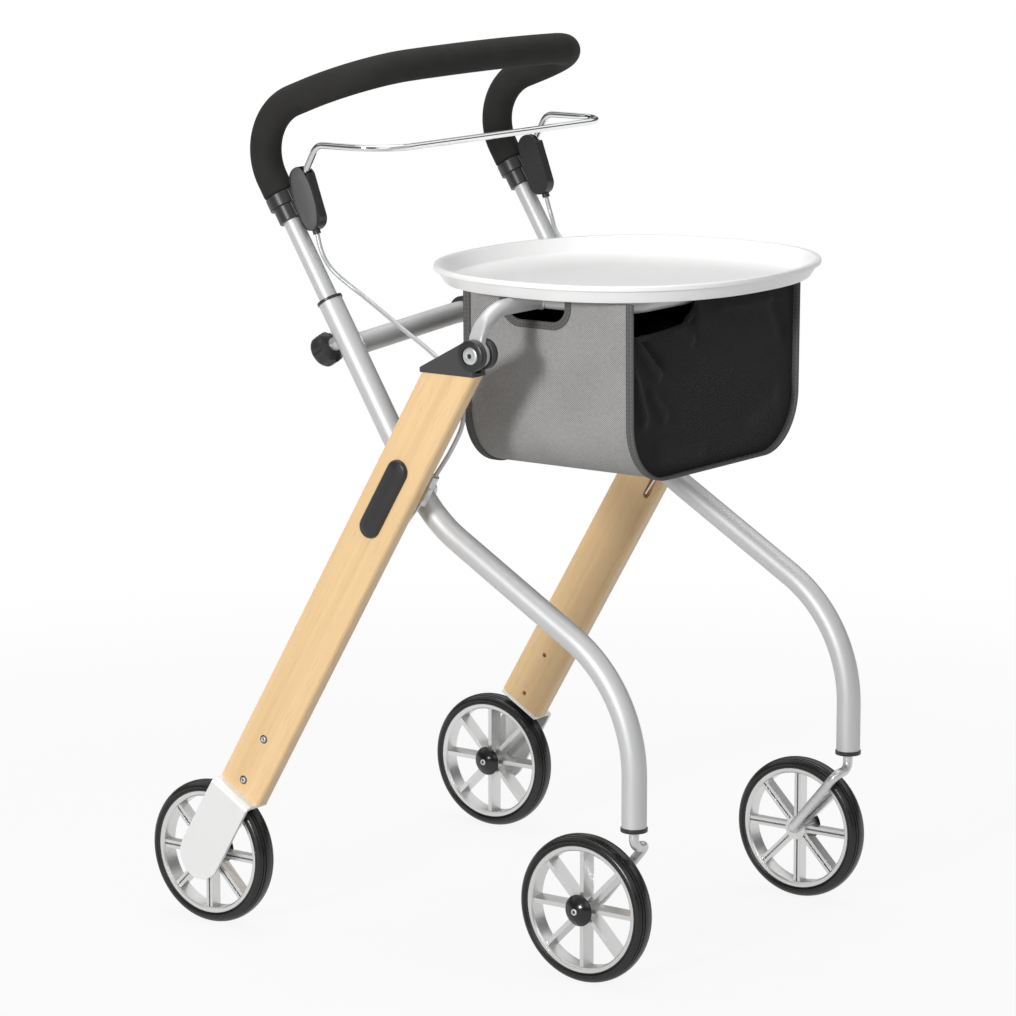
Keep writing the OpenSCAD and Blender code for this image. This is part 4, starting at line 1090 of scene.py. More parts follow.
# Corners of a band's section, as shares of its width and thickness
BAND_SECTION = np.array([
    [-0.5, -0.25], [-0.5, 0.25], [-0.42, 0.5], [0.42, 0.5],
    [0.5, 0.25], [0.5, -0.25], [0.42, -0.5], [-0.42, -0.5],
])
SEAM_STEPS = 24
SEAM_OVERLAP = 0.001
SEAM_SUNK = 0.0004
TAPE_W = 0.0080
TAPE_T = 0.0026
TAPE_STEPS = 12
TAPE_OVERLAP = 0.0015
TAPE_SUNK = 0.0006
HEM_W = 0.006
HEM_T = 0.0034
HEM_DROP = 0.42
HEM_END = 0.001
HEM_STEPS = 160
BAND_SHARP = 50.0


def half_width(z, sizes):
    """Half the bag's width at a height: a straight taper down to round lower corners."""
    foot, r = sizes.bag_foot_w / 2, sizes.bag_corner_r
    taper = foot + (BAG_HALF - foot) * (z - BAG_FOOT - r) / (BAG_TOP - BAG_FOOT - r)
    up = np.clip(z - BAG_FOOT, 0.0, r)
    return np.where(z < BAG_FOOT + r, foot - r + np.sqrt(r ** 2 - (r - up) ** 2), taper)


def bag_outline(sizes, top, steps):
    """Outline [x, z] from the top of one side round the foot to the top of the other, as arrays of points."""
    foot, r = sizes.bag_foot_w / 2, sizes.bag_corner_r
    top = np.asarray(top, dtype=float)
    swing = quarter(steps)[1:-1]
    tail = (...,) + (None,) * top.ndim
    flat = np.ones_like(top)
    split = BAG_TOP - CUT_ROOM
    above = np.linspace(0.0, 1.0, steps, endpoint=False)[tail]
    below = np.linspace(0.0, 1.0, 2 * steps)[tail]
    side_z = np.concatenate([top + (split - top) * above, split + (BAG_FOOT + r - split) * below * flat])
    side_x = -half_width(side_z, sizes)
    arc_x = -(foot - r + r * np.cos(swing))[tail] * flat
    arc_z = (BAG_FOOT + r - r * np.sin(swing))[tail] * flat
    base_x = np.linspace(-(foot - r), foot - r, 2 * steps)[tail] * flat
    base_z = np.full_like(base_x, BAG_FOOT)
    x = np.concatenate([side_x, arc_x, base_x, -arc_x[::-1], -side_x[::-1]])
    return x, np.concatenate([side_z, arc_z, base_z, arc_z[::-1], side_z[::-1]])


def arm_cut(y):
    """Depth of the rounded cut-out for a tray arm at a place along the bag's side."""
    d = np.abs(y - HINGE[1])
    square = ARM_CUT_R ** 2 - (d - ARM_CUT_HALF + ARM_CUT_R) ** 2
    round_part = ARM_CUT_DEEP - ARM_CUT_R + np.sqrt(np.clip(square, 0.0, None))
    depth = np.where(d < ARM_CUT_HALF - ARM_CUT_R, ARM_CUT_DEEP, round_part)
    return np.where(d > ARM_CUT_HALF, 0.0, depth)


def mouth_dip(x, sizes):
    """Depth of the front panel's dip: deepest at the right-hand seam, then up in a short curve."""
    along = (x + BAG_HALF) / sizes.mouth_w
    slack = sizes.mouth_deep * (1.0 - MOUTH_SLOPE * along + MOUTH_WAVE * np.sin(math.pi * along))
    rise = np.clip((1.0 - along) / MOUTH_RISE, 0.0, 1.0)
    return slack * np.sqrt(np.clip(1.0 - (1.0 - rise) ** 2, 0.0, 1.0))


def stay_slit(x):
    """Depth of the slit in the back panel that the stay passes through."""
    return np.where(np.abs(x) < STAY_CUT_HALF, STAY_CUT_DEEP, 0.0)


def fold(x, z, start, end, width, height):
    """A soft ridge along the line from start to end that fades out at both ends."""
    start, end = np.array(start), np.array(end)
    way = end - start
    span = np.linalg.norm(way)
    t = ((x - start[0]) * way[0] + (z - start[1]) * way[1]) / span ** 2
    off = ((x - start[0]) * way[1] - (z - start[1]) * way[0]) / span
    ends = np.clip(t / FOLD_FADE, 0, 1) * np.clip((1 - t) / FOLD_FADE, 0, 1)
    return height * np.exp(-(off / width) ** 2) * ease(ends)


def front_folds(x, z):
    """Pull folds in the front panel below its dip, and slack waves near its foot.

    Each row is a fold's start and end as [x, z], its width and its height."""
    lines = (
        ((-0.147, 0.640), (-0.094, 0.588), 0.0055, 0.0070),
        ((-0.131, 0.640), (-0.088, 0.598), 0.0040, -0.0045),
        ((-0.080, 0.648), (-0.038, 0.620), 0.0060, 0.0055),
        ((-0.146, 0.610), (-0.120, 0.540), 0.0075, 0.0060),
        ((-0.062, 0.652), (-0.030, 0.640), 0.0045, -0.0035),
        ((0.030, 0.525), (0.125, 0.560), 0.0140, 0.0030),
        ((-0.115, 0.520), (-0.010, 0.512), 0.0120, 0.0030),
        ((0.100, 0.655), (0.136, 0.600), 0.0100, -0.0030),
        ((-0.030, 0.652), (0.148, 0.648), 0.0050, 0.0026),
        ((-0.120, 0.585), (-0.085, 0.545), 0.0060, 0.0035),
    )
    return sum(fold(x, z, *line) for line in lines)


def panel_grid(sizes, y, outward, dip, folds):
    """A front or back panel: x is a share of the width at z, and z a share of the height under the top edge.

    It swells outwards by belly x (1 - x^2)(1 - z^4), with x and z from -1 to 1, and folds add to that."""
    slit = SLIT_EDGES * STAY_CUT_HALF / BAG_HALF
    s = np.unique(np.concatenate([np.linspace(-1.0, 1.0, PANEL_COLS), slit]))[None, :]
    t = np.linspace(0.0, 1.0, PANEL_ROWS)[:, None] ** PANEL_ROW_POWER
    top = BAG_TOP - dip(s * BAG_HALF)
    z = BAG_FOOT + (top - BAG_FOOT) * t
    x = s * half_width(z, sizes)
    swell = sizes.bag_belly * (1 - s ** 2) * (1 - (2 * t - 1) ** 4)
    seam = np.clip((1 - np.abs(s)) / PANEL_SEAM_SIDE, 0, 1) * np.clip(t / PANEL_SEAM_FOOT, 0, 1)
    depth = y + outward * (swell + folds(x, z) * seam)
    uv = np.stack([x, z], axis=-1)
    return np.stack([x, np.broadcast_to(depth, x.shape), z], axis=-1), uv


def band_on(line, out, across, width, thick):
    """A flat band: an eight-sided section, wide along 'across' and thick along 'out', swept on a line.

    Its UV runs along the line in metres, and from 0 to 1 over the band's width."""
    grid = (line[:, None] + BAND_SECTION[:, :1] * width * across[:, None]
            + BAND_SECTION[:, 1:] * thick * out[:, None])
    uv = np.stack([np.broadcast_to(arc_length(line)[:, None], grid.shape[:2]),
                   np.broadcast_to(BAND_SECTION[:, 0] + 0.5, grid.shape[:2])], axis=-1)
    return grid, uv


def normals_in_plane(line, axis):
    """Directions square to a flat line within its plane, whose normal is the axis."""
    return unit(np.cross(np.gradient(line, axis=0), axis))


def side_shares(y, z):
    """Shares of the way along the bag's side and up it."""
    share = (y - BAG_FRONT) / (BAG_REAR - BAG_FRONT)
    return share, np.clip((z - BAG_FOOT) / (BAG_TOP - BAG_FOOT), 0.0, 1.0)


def drawn_in(share, high):
    """How far the bag's side is drawn in: most in the middle, nothing at its edges."""
    return SIDE_HOLLOW * np.sin(math.pi * share) ** 2 * np.sin(math.pi * high)


def folded_away(piece):
    """Gives a cloth piece a mesh of its own."""
    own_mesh(piece)


def thicken(piece, thickness):
    """Gives a sheet its thickness inwards, with the lining on the inside."""
    wall = piece.modifiers.new("thickness", "SOLIDIFY")
    wall.thickness = thickness
    wall.offset = -1.0
    wall.material_offset = 1


class WALKER_OT_bag(Operator):
    """Sew the bag: a side strip, two panels, bound seams, taped cut-outs and a hem"""
    bl_idname = "walker.bag"
    bl_label = "Bag"

    def execute(self, context):
        sizes = context.scene.walker_sizes
        bands = self.seams(sizes) + self.tapes(sizes)
        self.strip(sizes, bands)
        self.panel(sizes, "bag_front_panel", BAG_FRONT, -1.0, lambda x: mouth_dip(x, sizes), front_folds,
                   [self.hem(sizes)])
        self.panel(sizes, "bag_back_panel", BAG_REAR, 1.0, stay_slit, lambda x, z: 0.0 * x, [])
        return {"FINISHED"}

    def strip(self, sizes, bands):
        """The outline carried from front to back, its top edge cut out for the arms, its sides drawn in."""
        edge = HINGE[1] + np.array([-1.0, 1.0])[:, None] * (ARM_CUT_HALF + np.array([-CUT_EDGE, CUT_EDGE]))
        y = np.unique(np.concatenate([np.linspace(BAG_FRONT, BAG_REAR, STRIP_COLS), edge.ravel()]))
        x, z = bag_outline(sizes, BAG_TOP - arm_cut(y), STRIP_STEPS)
        share, high = side_shares(y, z)
        wave = np.sin(RIPPLE_ALONG * share + RIPPLE_UP * high)
        ripple = RIPPLE * wave * np.sin(math.pi * share) * np.sin(math.pi * high)
        x = x - np.sign(x) * (drawn_in(share, high) + ripple)
        grid = np.stack([x, np.broadcast_to(y, x.shape), z], axis=-1)
        steps = np.hypot(np.diff(x, axis=0), np.diff(z, axis=0))
        around = np.cumsum(np.concatenate([np.zeros((1, len(y))), steps]), axis=0)
        uv = np.stack([np.broadcast_to(y, x.shape), around - around[STRIP_STEPS]], axis=-1)
        shell = Shell().patch(grid[:, ::-1], uv=uv[:, ::-1])
        piece = shell.build("bag_side_strip", "tray_frame", "bag_cloth", ("bag_cloth", "bag_lining"),
                            replaces=("bag",))
        thicken(piece, sizes.cloth_t)
        folded_away(piece)

    def panel(self, sizes, name, y, outward, dip, folds, bands):
        """A front or back panel, sewn to the strip. The bands argument is not used."""
        grid, uv = panel_grid(sizes, y, outward, dip, folds)
        grid, uv = (grid[:, ::-1], uv[:, ::-1]) if outward < 0 else (grid, uv)
        piece = Shell().patch(grid, uv=uv).build(name, "tray_frame", "bag_cloth", ("bag_nylon", "bag_lining"))
        thicken(piece, sizes.cloth_t)
        folded_away(piece)
        z = np.linspace(BAG_FOOT, BAG_TOP, AREA_STEPS)
        area = 2 * np.trapz(half_width(z, sizes), z)

    def band(self, name, finish, band, side=1.0):
        """A swept band as a piece with a mesh of its own, on the tray frame like the cloth."""
        piece = Shell().rod(*band).build(name, "tray_frame", "bag_cloth", (finish,), side, BAND_SHARP)
        folded_away(piece)
        return piece

    def seams(self, sizes):
        """Bound seams stand out to the front and to the back along the whole outline."""
        x, z = bag_outline(sizes, BAG_TOP, SEAM_STEPS)
        made = []
        for name, y, outward in (("bag_front_seam", BAG_FRONT, -1.0), ("bag_back_seam", BAG_REAR, 1.0)):
            place = y + outward * (sizes.binding_w / 2 - SEAM_OVERLAP)
            line = np.stack([x, np.full_like(x, place), z], axis=-1)
            out = normals_in_plane(line, REAR)
            across = np.broadcast_to(REAR * outward, line.shape)
            band = band_on(line - out * SEAM_SUNK, out, across, sizes.binding_w, sizes.binding_t)
            made.append(self.band(name, "bag_binding", band))
        return made

    def tapes(self, sizes):
        """Tape follows each arm cut-out: down, round, along, round and up."""
        swing = quarter(TAPE_STEPS)
        reach = ARM_CUT_HALF - ARM_CUT_R
        y = np.concatenate([[-ARM_CUT_HALF], -reach - ARM_CUT_R * np.cos(swing),
                            reach + ARM_CUT_R * np.sin(swing), [ARM_CUT_HALF]])
        down = ARM_CUT_DEEP - ARM_CUT_R + ARM_CUT_R * np.concatenate([np.sin(swing), np.cos(swing)])
        z = BAG_TOP - np.concatenate([[0.0], down, [0.0]])
        flat = np.stack([np.zeros_like(y), HINGE[1] + y, z], axis=-1)
        flat = flat[np.diff(arc_length(flat), prepend=-1.0) > SAME_POINT]
        outwards = normals_in_plane(flat, -OUT)
        outwards *= np.sign(np.sum(outwards * (flat - [0.0, HINGE[1], BAG_TOP]), axis=1).mean())
        flat = flat + outwards * (TAPE_W / 2 - TAPE_OVERLAP)
        y, z = flat[:, 1], flat[:, 2]
        line = np.stack([drawn_in(*side_shares(y, z)) - half_width(z, sizes), y, z], axis=-1)
        face = np.broadcast_to(OUT, line.shape)
        band = band_on(line - face * TAPE_SUNK, face, outwards, TAPE_W, TAPE_T)
        return [self.band(f"{side}_arm_cut_tape", "bag_binding", band, sign) for side, sign in SIDES]

    def hem(self, sizes):
        """A doubled hem along the front panel's top edge."""
        x = np.linspace(-BAG_HALF + HEM_END, BAG_HALF - HEM_END, HEM_STEPS)
        z = BAG_TOP - mouth_dip(x, sizes)
        line = np.stack([x * half_width(z, sizes) / BAG_HALF, np.full_like(x, BAG_FRONT), z], axis=-1)
        rise = normals_in_plane(line, REAR)
        rise *= np.sign(rise[:, 2:].mean())
        face = np.broadcast_to(-REAR, line.shape)
        band = band_on(line - rise * HEM_W * HEM_DROP, face, rise, HEM_W, HEM_T)
        return self.band("bag_front_hem", "bag_nylon", band)


# Fittings

LEG_LEAN = 30.5
LEG_FACE_X = box_of("right_pivot_cover")[1][0]
COVER_L = 0.092
COVER_W = 0.024
COVER_H = 0.006
COVER_EDGE = 0.0035
COVER_CROWN = 0.0012
COVER_CROWN_INSETS = (0.006, 0.0095)
COVER_CROWN_DROPS = (0.0004, 0.0)
COVER_STEPS = 16
EDGE_STEPS = 8
LEG_SCREW_R = 0.0031
LEG_SCREW_H = 0.0012
LEG_SCREW_KEY = 0.0013
LEG_SOCKET_DEEP = 0.0022
LEG_SHADE_PLATE_LEVEL = 0.5
CUP_STEPS = 40
SCREW_CUP = np.array([[3.2, -1.0], [3.2, 0.3], [3.6, 0.7], [4.3, 0.5], [4.6, 0.0], [4.6, -1.0]]) * MM
# From the pivot down to the leg's end, and up from there to the screws
LEG_REACH = 0.376511
LEG_SCREW_RISES = (0.014, 0.068)
PIVOT = np.array([-0.006972, 0.471359])
HINGE_HEAD_R = 0.0090
HINGE_HEAD_KEY = 0.0024
HINGE_HEAD_H = 0.0025
HINGE_SOCKET_DEEP = 0.0028
HINGE_SHADE_PLATE_LEVEL = 0.8
BOSS_RING = np.array([
    [9.6, 0.0], [9.6, 2.2], [10.1, 2.7], [14.2, 2.7], [15.1, 2.2], [15.4, 1.2], [15.4, 0.0],
]) * MM
BOSS_STEPS = 64
HOUSING_LEAN = 20.0
HOUSING_MIDDLE = np.array([-0.1895, 0.133615, 0.754178])
HOUSING_UP = turn_x(-HOUSING_LEAN)[:, 2]
HOUSING_REAR = turn_x(-HOUSING_LEAN)[:, 1]
OVAL_HALF_L = 0.0325
OVAL_HALF_W = 0.0122
OVAL_POWER = 2.25
OVAL_EDGE = 0.0016
OVAL_DOME = 0.0014
OVAL_DOME_STEPS = 7
OVAL_DOME_REACH = 0.95
OVAL_STEPS = 96
# Places of the screws up and to the rear of the housing's middle
HOUSING_SCREWS = ((0.021, 0.003), (-0.020, 0.004), (-0.016, -0.006))
HOUSING_SCREW_R = 0.0022
HOUSING_SCREW_KEY = 0.0011
HOUSING_SCREW_H = 0.0005
HOUSING_SOCKET_DEEP = 0.0012
SHADE_PLATE_T = 0.0004
SHADE_PLATE_REACH = 1.12
CAP_DOME_R = 0.020
CAP_TIP = 0.02
CAP_RINGS = 24
CAP_STEPS = 96
CAP_SCREW_R = 0.0034
CAP_SCREW_KEY = 0.0015
CAP_SCREW_H = 0.0011
CAP_SCREW_SUNK = 0.0006
CAP_SOCKET_DEEP = 0.0015
LEG_UP = np.array([0.0, -math.sin(math.radians(LEG_LEAN)), math.cos(math.radians(LEG_LEAN))])
LEG_REAR = np.array([0.0, math.cos(math.radians(LEG_LEAN)), math.sin(math.radians(LEG_LEAN))])


class WALKER_OT_pivot_covers(Operator):
    """Loft the pill-shaped covers over the leg pivots and the oval covers of the brake housings"""
    bl_idname = "walker.pivot_covers"
    bl_label = "Pivot and housing covers"

    def execute(self, context):
        for side, sign in SIDES:
            Shell().rod(self.pill()).build(
                f"{side}_pivot_pill", f"{side}_leg", "black_plastic", side=sign,
                replaces=(f"{side}_pivot_cover",))
            Shell().rod(self.oval()).build(
                f"{side}_housing_oval", "handle", "cover_plastic", side=sign,
                replaces=(f"{side}_housing_cover",))
        return {"FINISHED"}

    def pill(self):
        """A pivot cover: pill outlines that shrink over a round edge and then over a low crown."""
        middle = np.array([LEG_FACE_X, *PIVOT])
        swing = quarter(EDGE_STEPS)
        insets = np.concatenate([[0.0], COVER_EDGE * (1 - np.cos(swing)), COVER_CROWN_INSETS])
        edge = COVER_H - COVER_CROWN - COVER_EDGE * (1 - np.sin(swing))
        rises = np.concatenate([[0.0], edge, COVER_H - np.array(COVER_CROWN_DROPS)])
        rings = [stadium(COVER_L, COVER_W, inset, COVER_STEPS) for inset in insets]
        return np.stack([middle + ring[:, :1] * LEG_REAR + ring[:, 1:] * LEG_UP + rise * OUT
                         for ring, rise in zip(rings, rises)])

    def oval(self):
        """A brake housing's cover: superellipses that shrink over a round edge and then over a low dome."""
        low, high = box_of("right_housing_cover")
        swing = quarter(EDGE_STEPS)[1:]
        thick = high[0] - low[0]
        inner = np.linspace(OVAL_EDGE, OVAL_HALF_W * OVAL_DOME_REACH, OVAL_DOME_STEPS)[1:]
        insets = np.concatenate([[0.0], OVAL_EDGE * (1 - np.cos(swing)), inner])[:, None]
        edge = (thick - OVAL_DOME) * np.sin(swing)
        dome = OVAL_DOME * np.sin(quarter(OVAL_DOME_STEPS)[1:])
        rises = np.concatenate([[0.0], edge, thick - OVAL_DOME + dome])[:, None, None]
        t = circle(OVAL_STEPS)
        along = (OVAL_HALF_L - insets) * signed_power(np.cos(t), 2 / OVAL_POWER)
        across = (OVAL_HALF_W - insets) * signed_power(np.sin(t), 2 / OVAL_POWER)
        middle = np.array([high[0], HOUSING_MIDDLE[1], HOUSING_MIDDLE[2]])
        return middle + along[..., None] * HOUSING_UP + across[..., None] * HOUSING_REAR + rises * OUT


class WALKER_OT_screws(Operator):
    """Turn the screws of the legs, tray hinges, brake housings and wheels, and the hub caps under them"""
    bl_idname = "walker.screws"
    bl_label = "Screws and hub caps"

    def execute(self, context):
        for side, sign in SIDES:
            self.leg_screws(side, sign)
            self.hinge_heads(side, sign)
            self.housing_screws(side, sign)
            for end in ENDS:
                self.cap_screw(side, sign, end)
        return {"FINISHED"}

    def socket_shade_plate(self, middle, out, across, key):
        """Painted shade: a thin dark six-sided plate that closes a socket just under its edge, so that the
        socket reads as deep.
        """
        t = circle(6)[None, :, None]
        level = np.array([-SHADE_PLATE_T, 0.0])[:, None, None]
        way = np.cos(t) * across + np.sin(t) * np.cross(out, across)
        return middle + level * out + key * SHADE_PLATE_REACH * way

    def leg_screws(self, side, sign):
        """The two screws low on a leg, each in a dark cup, with a dark plate of painted shade in each socket.
        """
        heads = Shell()
        cups = Shell()
        for rise in LEG_SCREW_RISES:
            spot = np.array([LEG_FACE_X, *PIVOT]) + LEG_UP * (rise - LEG_REACH)
            heads.rod(socket_head(spot, OUT, LEG_UP, LEG_SCREW_R, LEG_SCREW_H, LEG_SCREW_KEY,
                                  LEG_SOCKET_DEEP))
            cups.hoop(revolved(SCREW_CUP, CUP_STEPS, spot, OUT[0]))
            # painted shade: a dark plate just under the socket's edge stands for its depth
            cups.rod(self.socket_shade_plate(spot + OUT * LEG_SCREW_H * LEG_SHADE_PLATE_LEVEL, OUT, LEG_UP, LEG_SCREW_KEY))
        heads.build(f"{side}_leg_screw_heads", f"{side}_leg", "steel", side=sign,
                    replaces=(f"{side}_leg_screws",))
        cups.build(f"{side}_leg_screw_cups", f"{side}_leg", "steel", ("dark_steel",), side=sign)

    def hinge_heads(self, side, sign):
        """Both heads of a tray hinge bolt, and the raised rings round them, with a black plate of painted
        shade in each socket.
        """
        low, high = box_of("right_hinge_bolt")
        heads = Shell()
        rings = Shell()
        for x, out in ((low[0] + HINGE_HEAD_H, OUT), (high[0] - HINGE_HEAD_H, -OUT)):
            spot = np.array([x, HINGE[1], HINGE[2]])
            heads.rod(socket_head(spot, out, UP, HINGE_HEAD_R, HINGE_HEAD_H, HINGE_HEAD_KEY,
                                  HINGE_SOCKET_DEEP))
            rings.hoop(revolved(BOSS_RING, BOSS_STEPS, spot, out[0]))
            # painted shade: a black plate just under the socket's edge stands for its depth
            rings.rod(self.socket_shade_plate(spot + out * HINGE_HEAD_H * HINGE_SHADE_PLATE_LEVEL, out, UP, HINGE_HEAD_KEY))
        heads.build(f"{side}_hinge_heads", f"{side}_leg", "steel", side=sign,
                    replaces=(f"{side}_hinge_bolt",))
        rings.build(f"{side}_hinge_rings", f"{side}_leg", "black_plastic", side=sign)

    def housing_screws(self, side, sign):
        """Three small screws on the inner face of a brake housing."""
        heads = Shell()
        for along, across in HOUSING_SCREWS:
            spot = HOUSING_MIDDLE + along * HOUSING_UP + across * HOUSING_REAR
            heads.rod(socket_head(spot, -OUT, HOUSING_UP, HOUSING_SCREW_R, HOUSING_SCREW_H, HOUSING_SCREW_KEY,
                                  HOUSING_SOCKET_DEEP))
        heads.build(f"{side}_housing_screws", "handle", "black_plastic", side=sign)

    def cap_screw(self, side, sign, end):
        """A hub cap, a flat piece of a ball, with a small screw in its middle."""
        low, high = box_of(f"right_{end}_cap")
        out = OUT if end == "front" else -OUT
        x = low[0] if end == "front" else high[0]
        spot = np.array([x, (low[1] + high[1]) / 2, (low[2] + high[2]) / 2])
        head = socket_head(spot - out * CAP_SCREW_SUNK, out, UP, CAP_SCREW_R, CAP_SCREW_H, CAP_SCREW_KEY,
                           CAP_SOCKET_DEEP)
        Shell().rod(head).build(f"{side}_{end}_cap_screw", f"{side}_{end}_wheel", "steel", side=sign)
        radius = (high[1] - low[1]) / 2 * np.linspace(1.0, CAP_TIP, CAP_RINGS)
        rise = high[0] - low[0] - CAP_DOME_R + np.sqrt(CAP_DOME_R ** 2 - radius ** 2)
        profile = np.concatenate([[[radius[0], 0.0]], np.stack([radius, rise], axis=-1)])
        dome = revolved(profile, CAP_STEPS, spot - out * (high[0] - low[0]), out[0])
        Shell().rod(dome).build(f"{side}_{end}_hub_dome", f"{side}_{end}_wheel", "black_plastic",
                                ("hub_plastic",), side=sign, replaces=(f"{side}_{end}_cap",))


# Widths in millimetres
SOFT_EDGES = {
    "brake_housing": 2.4, "hinge_cap": 1.6, "wheel_bracket": 0.7, "front_rim": 0.5,
    "rear_rim": 0.5, "clamp_knob": 0.6,
}
SOFT_SINGLE = {"clamp_sleeves": 0.7, "tube_collars": 0.6, "stem_plugs": 0.8, "stay_clip": 0.8}
FLAT_ANGLE = 0.6
SOFT_ANGLE = 35.0


class WALKER_OT_soft_edges(Operator):
    """Round the moulded and cut edges of the rigid pieces"""
    bl_idname = "walker.soft_edges"
    bl_label = "Soft edges"

    def execute(self, context):
        steps = context.scene.walker_sizes.soft_segments
        for kind, width in SOFT_EDGES.items():
            for side, _ in SIDES:
                self.soften(f"{side}_{kind}", width * MM, steps)
        for node, width in SOFT_SINGLE.items():
            self.soften(node, width * MM, steps)
        return {"FINISHED"}

    def soften(self, node, width, steps):
        """A copy of a solid, its triangles joined into whole faces, with rounded edges."""
        solid = bmesh.new()
        solid.from_mesh(frame["nodes"][node].data)
        solid.transform(frame["nodes"][node].matrix_world)
        bmesh.ops.remove_doubles(solid, verts=solid.verts, dist=SAME_POINT)
        bmesh.ops.dissolve_limit(solid, angle_limit=math.radians(FLAT_ANGLE), use_dissolve_boundaries=False,
                                 verts=solid.verts, edges=solid.edges)
        mesh = bpy.data.meshes.new(f"{node}_soft")
        solid.to_mesh(mesh)
        solid.free()
        mesh.materials.clear()
        mesh.materials.append(finish_of(node))
        mesh.polygons.foreach_set("use_smooth", np.ones(len(mesh.polygons), dtype=bool))
        mesh.set_sharp_from_angle(angle=math.radians(SHARP_ANGLE))
        piece = bpy.data.objects.new(f"{node}_soft", mesh)
        bpy.context.scene.collection.objects.link(piece)
        edge = piece.modifiers.new("soft edge", "BEVEL")
        edge.width = width
        edge.segments = steps
        edge.limit_method = "ANGLE"
        edge.angle_limit = math.radians(SOFT_ANGLE)
        edge.harden_normals = True
        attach(piece, BODY_OF[node])
        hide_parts(node)


class WALKER_OT_solids(Operator):
    """Give every solid that stays in view its finish"""
    bl_idname = "walker.solids"
    bl_label = "Solid finishes"

    def execute(self, context):
        for node, solid in frame["nodes"].items():
            for place in solid.material_slots:
                place.link = "OBJECT"
                place.material = finish_of(node)
        return {"FINISHED"}


# Stage

CAMERA_TARGET = np.array([-0.02864, 0.0070, 0.42667])
CAMERA_AZIMUTH = -53.828
CAMERA_ELEVATION = 10.603
CAMERA_DISTANCE = 4.6115
CAMERA_END = 200.0
# Lens and sensor are in millimetres
CAMERA_LENS = 158.56
CAMERA_SENSOR = 36.0
FLOOR_HALF = 40.0
FLOOR_NEAR = 0.75
FLOOR_FAR = 1.9
FLOOR_SHARE = 0.9
FLOOR_GREY = (0.66, 0.66, 0.66, 1.0)
WHITE = (1.0, 1.0, 1.0, 1.0)
# A pair of values is where a soft edge starts and ends; SOFTBOX_AT is an azimuth and an elevation
FLOOR_BEHIND = (-1.2, 0.4)
SKY_LEVEL = 0.10
SKY_TOP = (0.35, 0.85)
SKY_TOP_LEVEL = 0.34
SKY_BEHIND = (-0.2, 0.35)
SOFTBOX_AT = (5.0, 18.0)
SOFTBOX_EDGE = (0.78, 0.92)
SOFTBOX_LEVEL = 0.35
FLAG_FOOT = (0.05, 0.12)
FLAG_HEAD = (0.38, 0.50)
# Each lamp's name, azimuth and elevation in degrees, distance, size and power
LAMPS = (
    ("key_light", (-85.0, 15.0), 6.0, 0.9, 215.0),
    ("fill_light", (-40.0, 27.0), 3.4, 2.0, 12.0),
    ("top_light", (140.0, 84.0), 2.6, 2.4, 35.0),
)


def towards(azimuth, elevation):
    """Direction from the object to a viewer: azimuth 0 is the front, and positive angles go to its left."""
    a, e = math.radians(azimuth), math.radians(elevation)
    return np.array([math.sin(a) * math.cos(e), -math.cos(a) * math.cos(e), math.sin(e)])


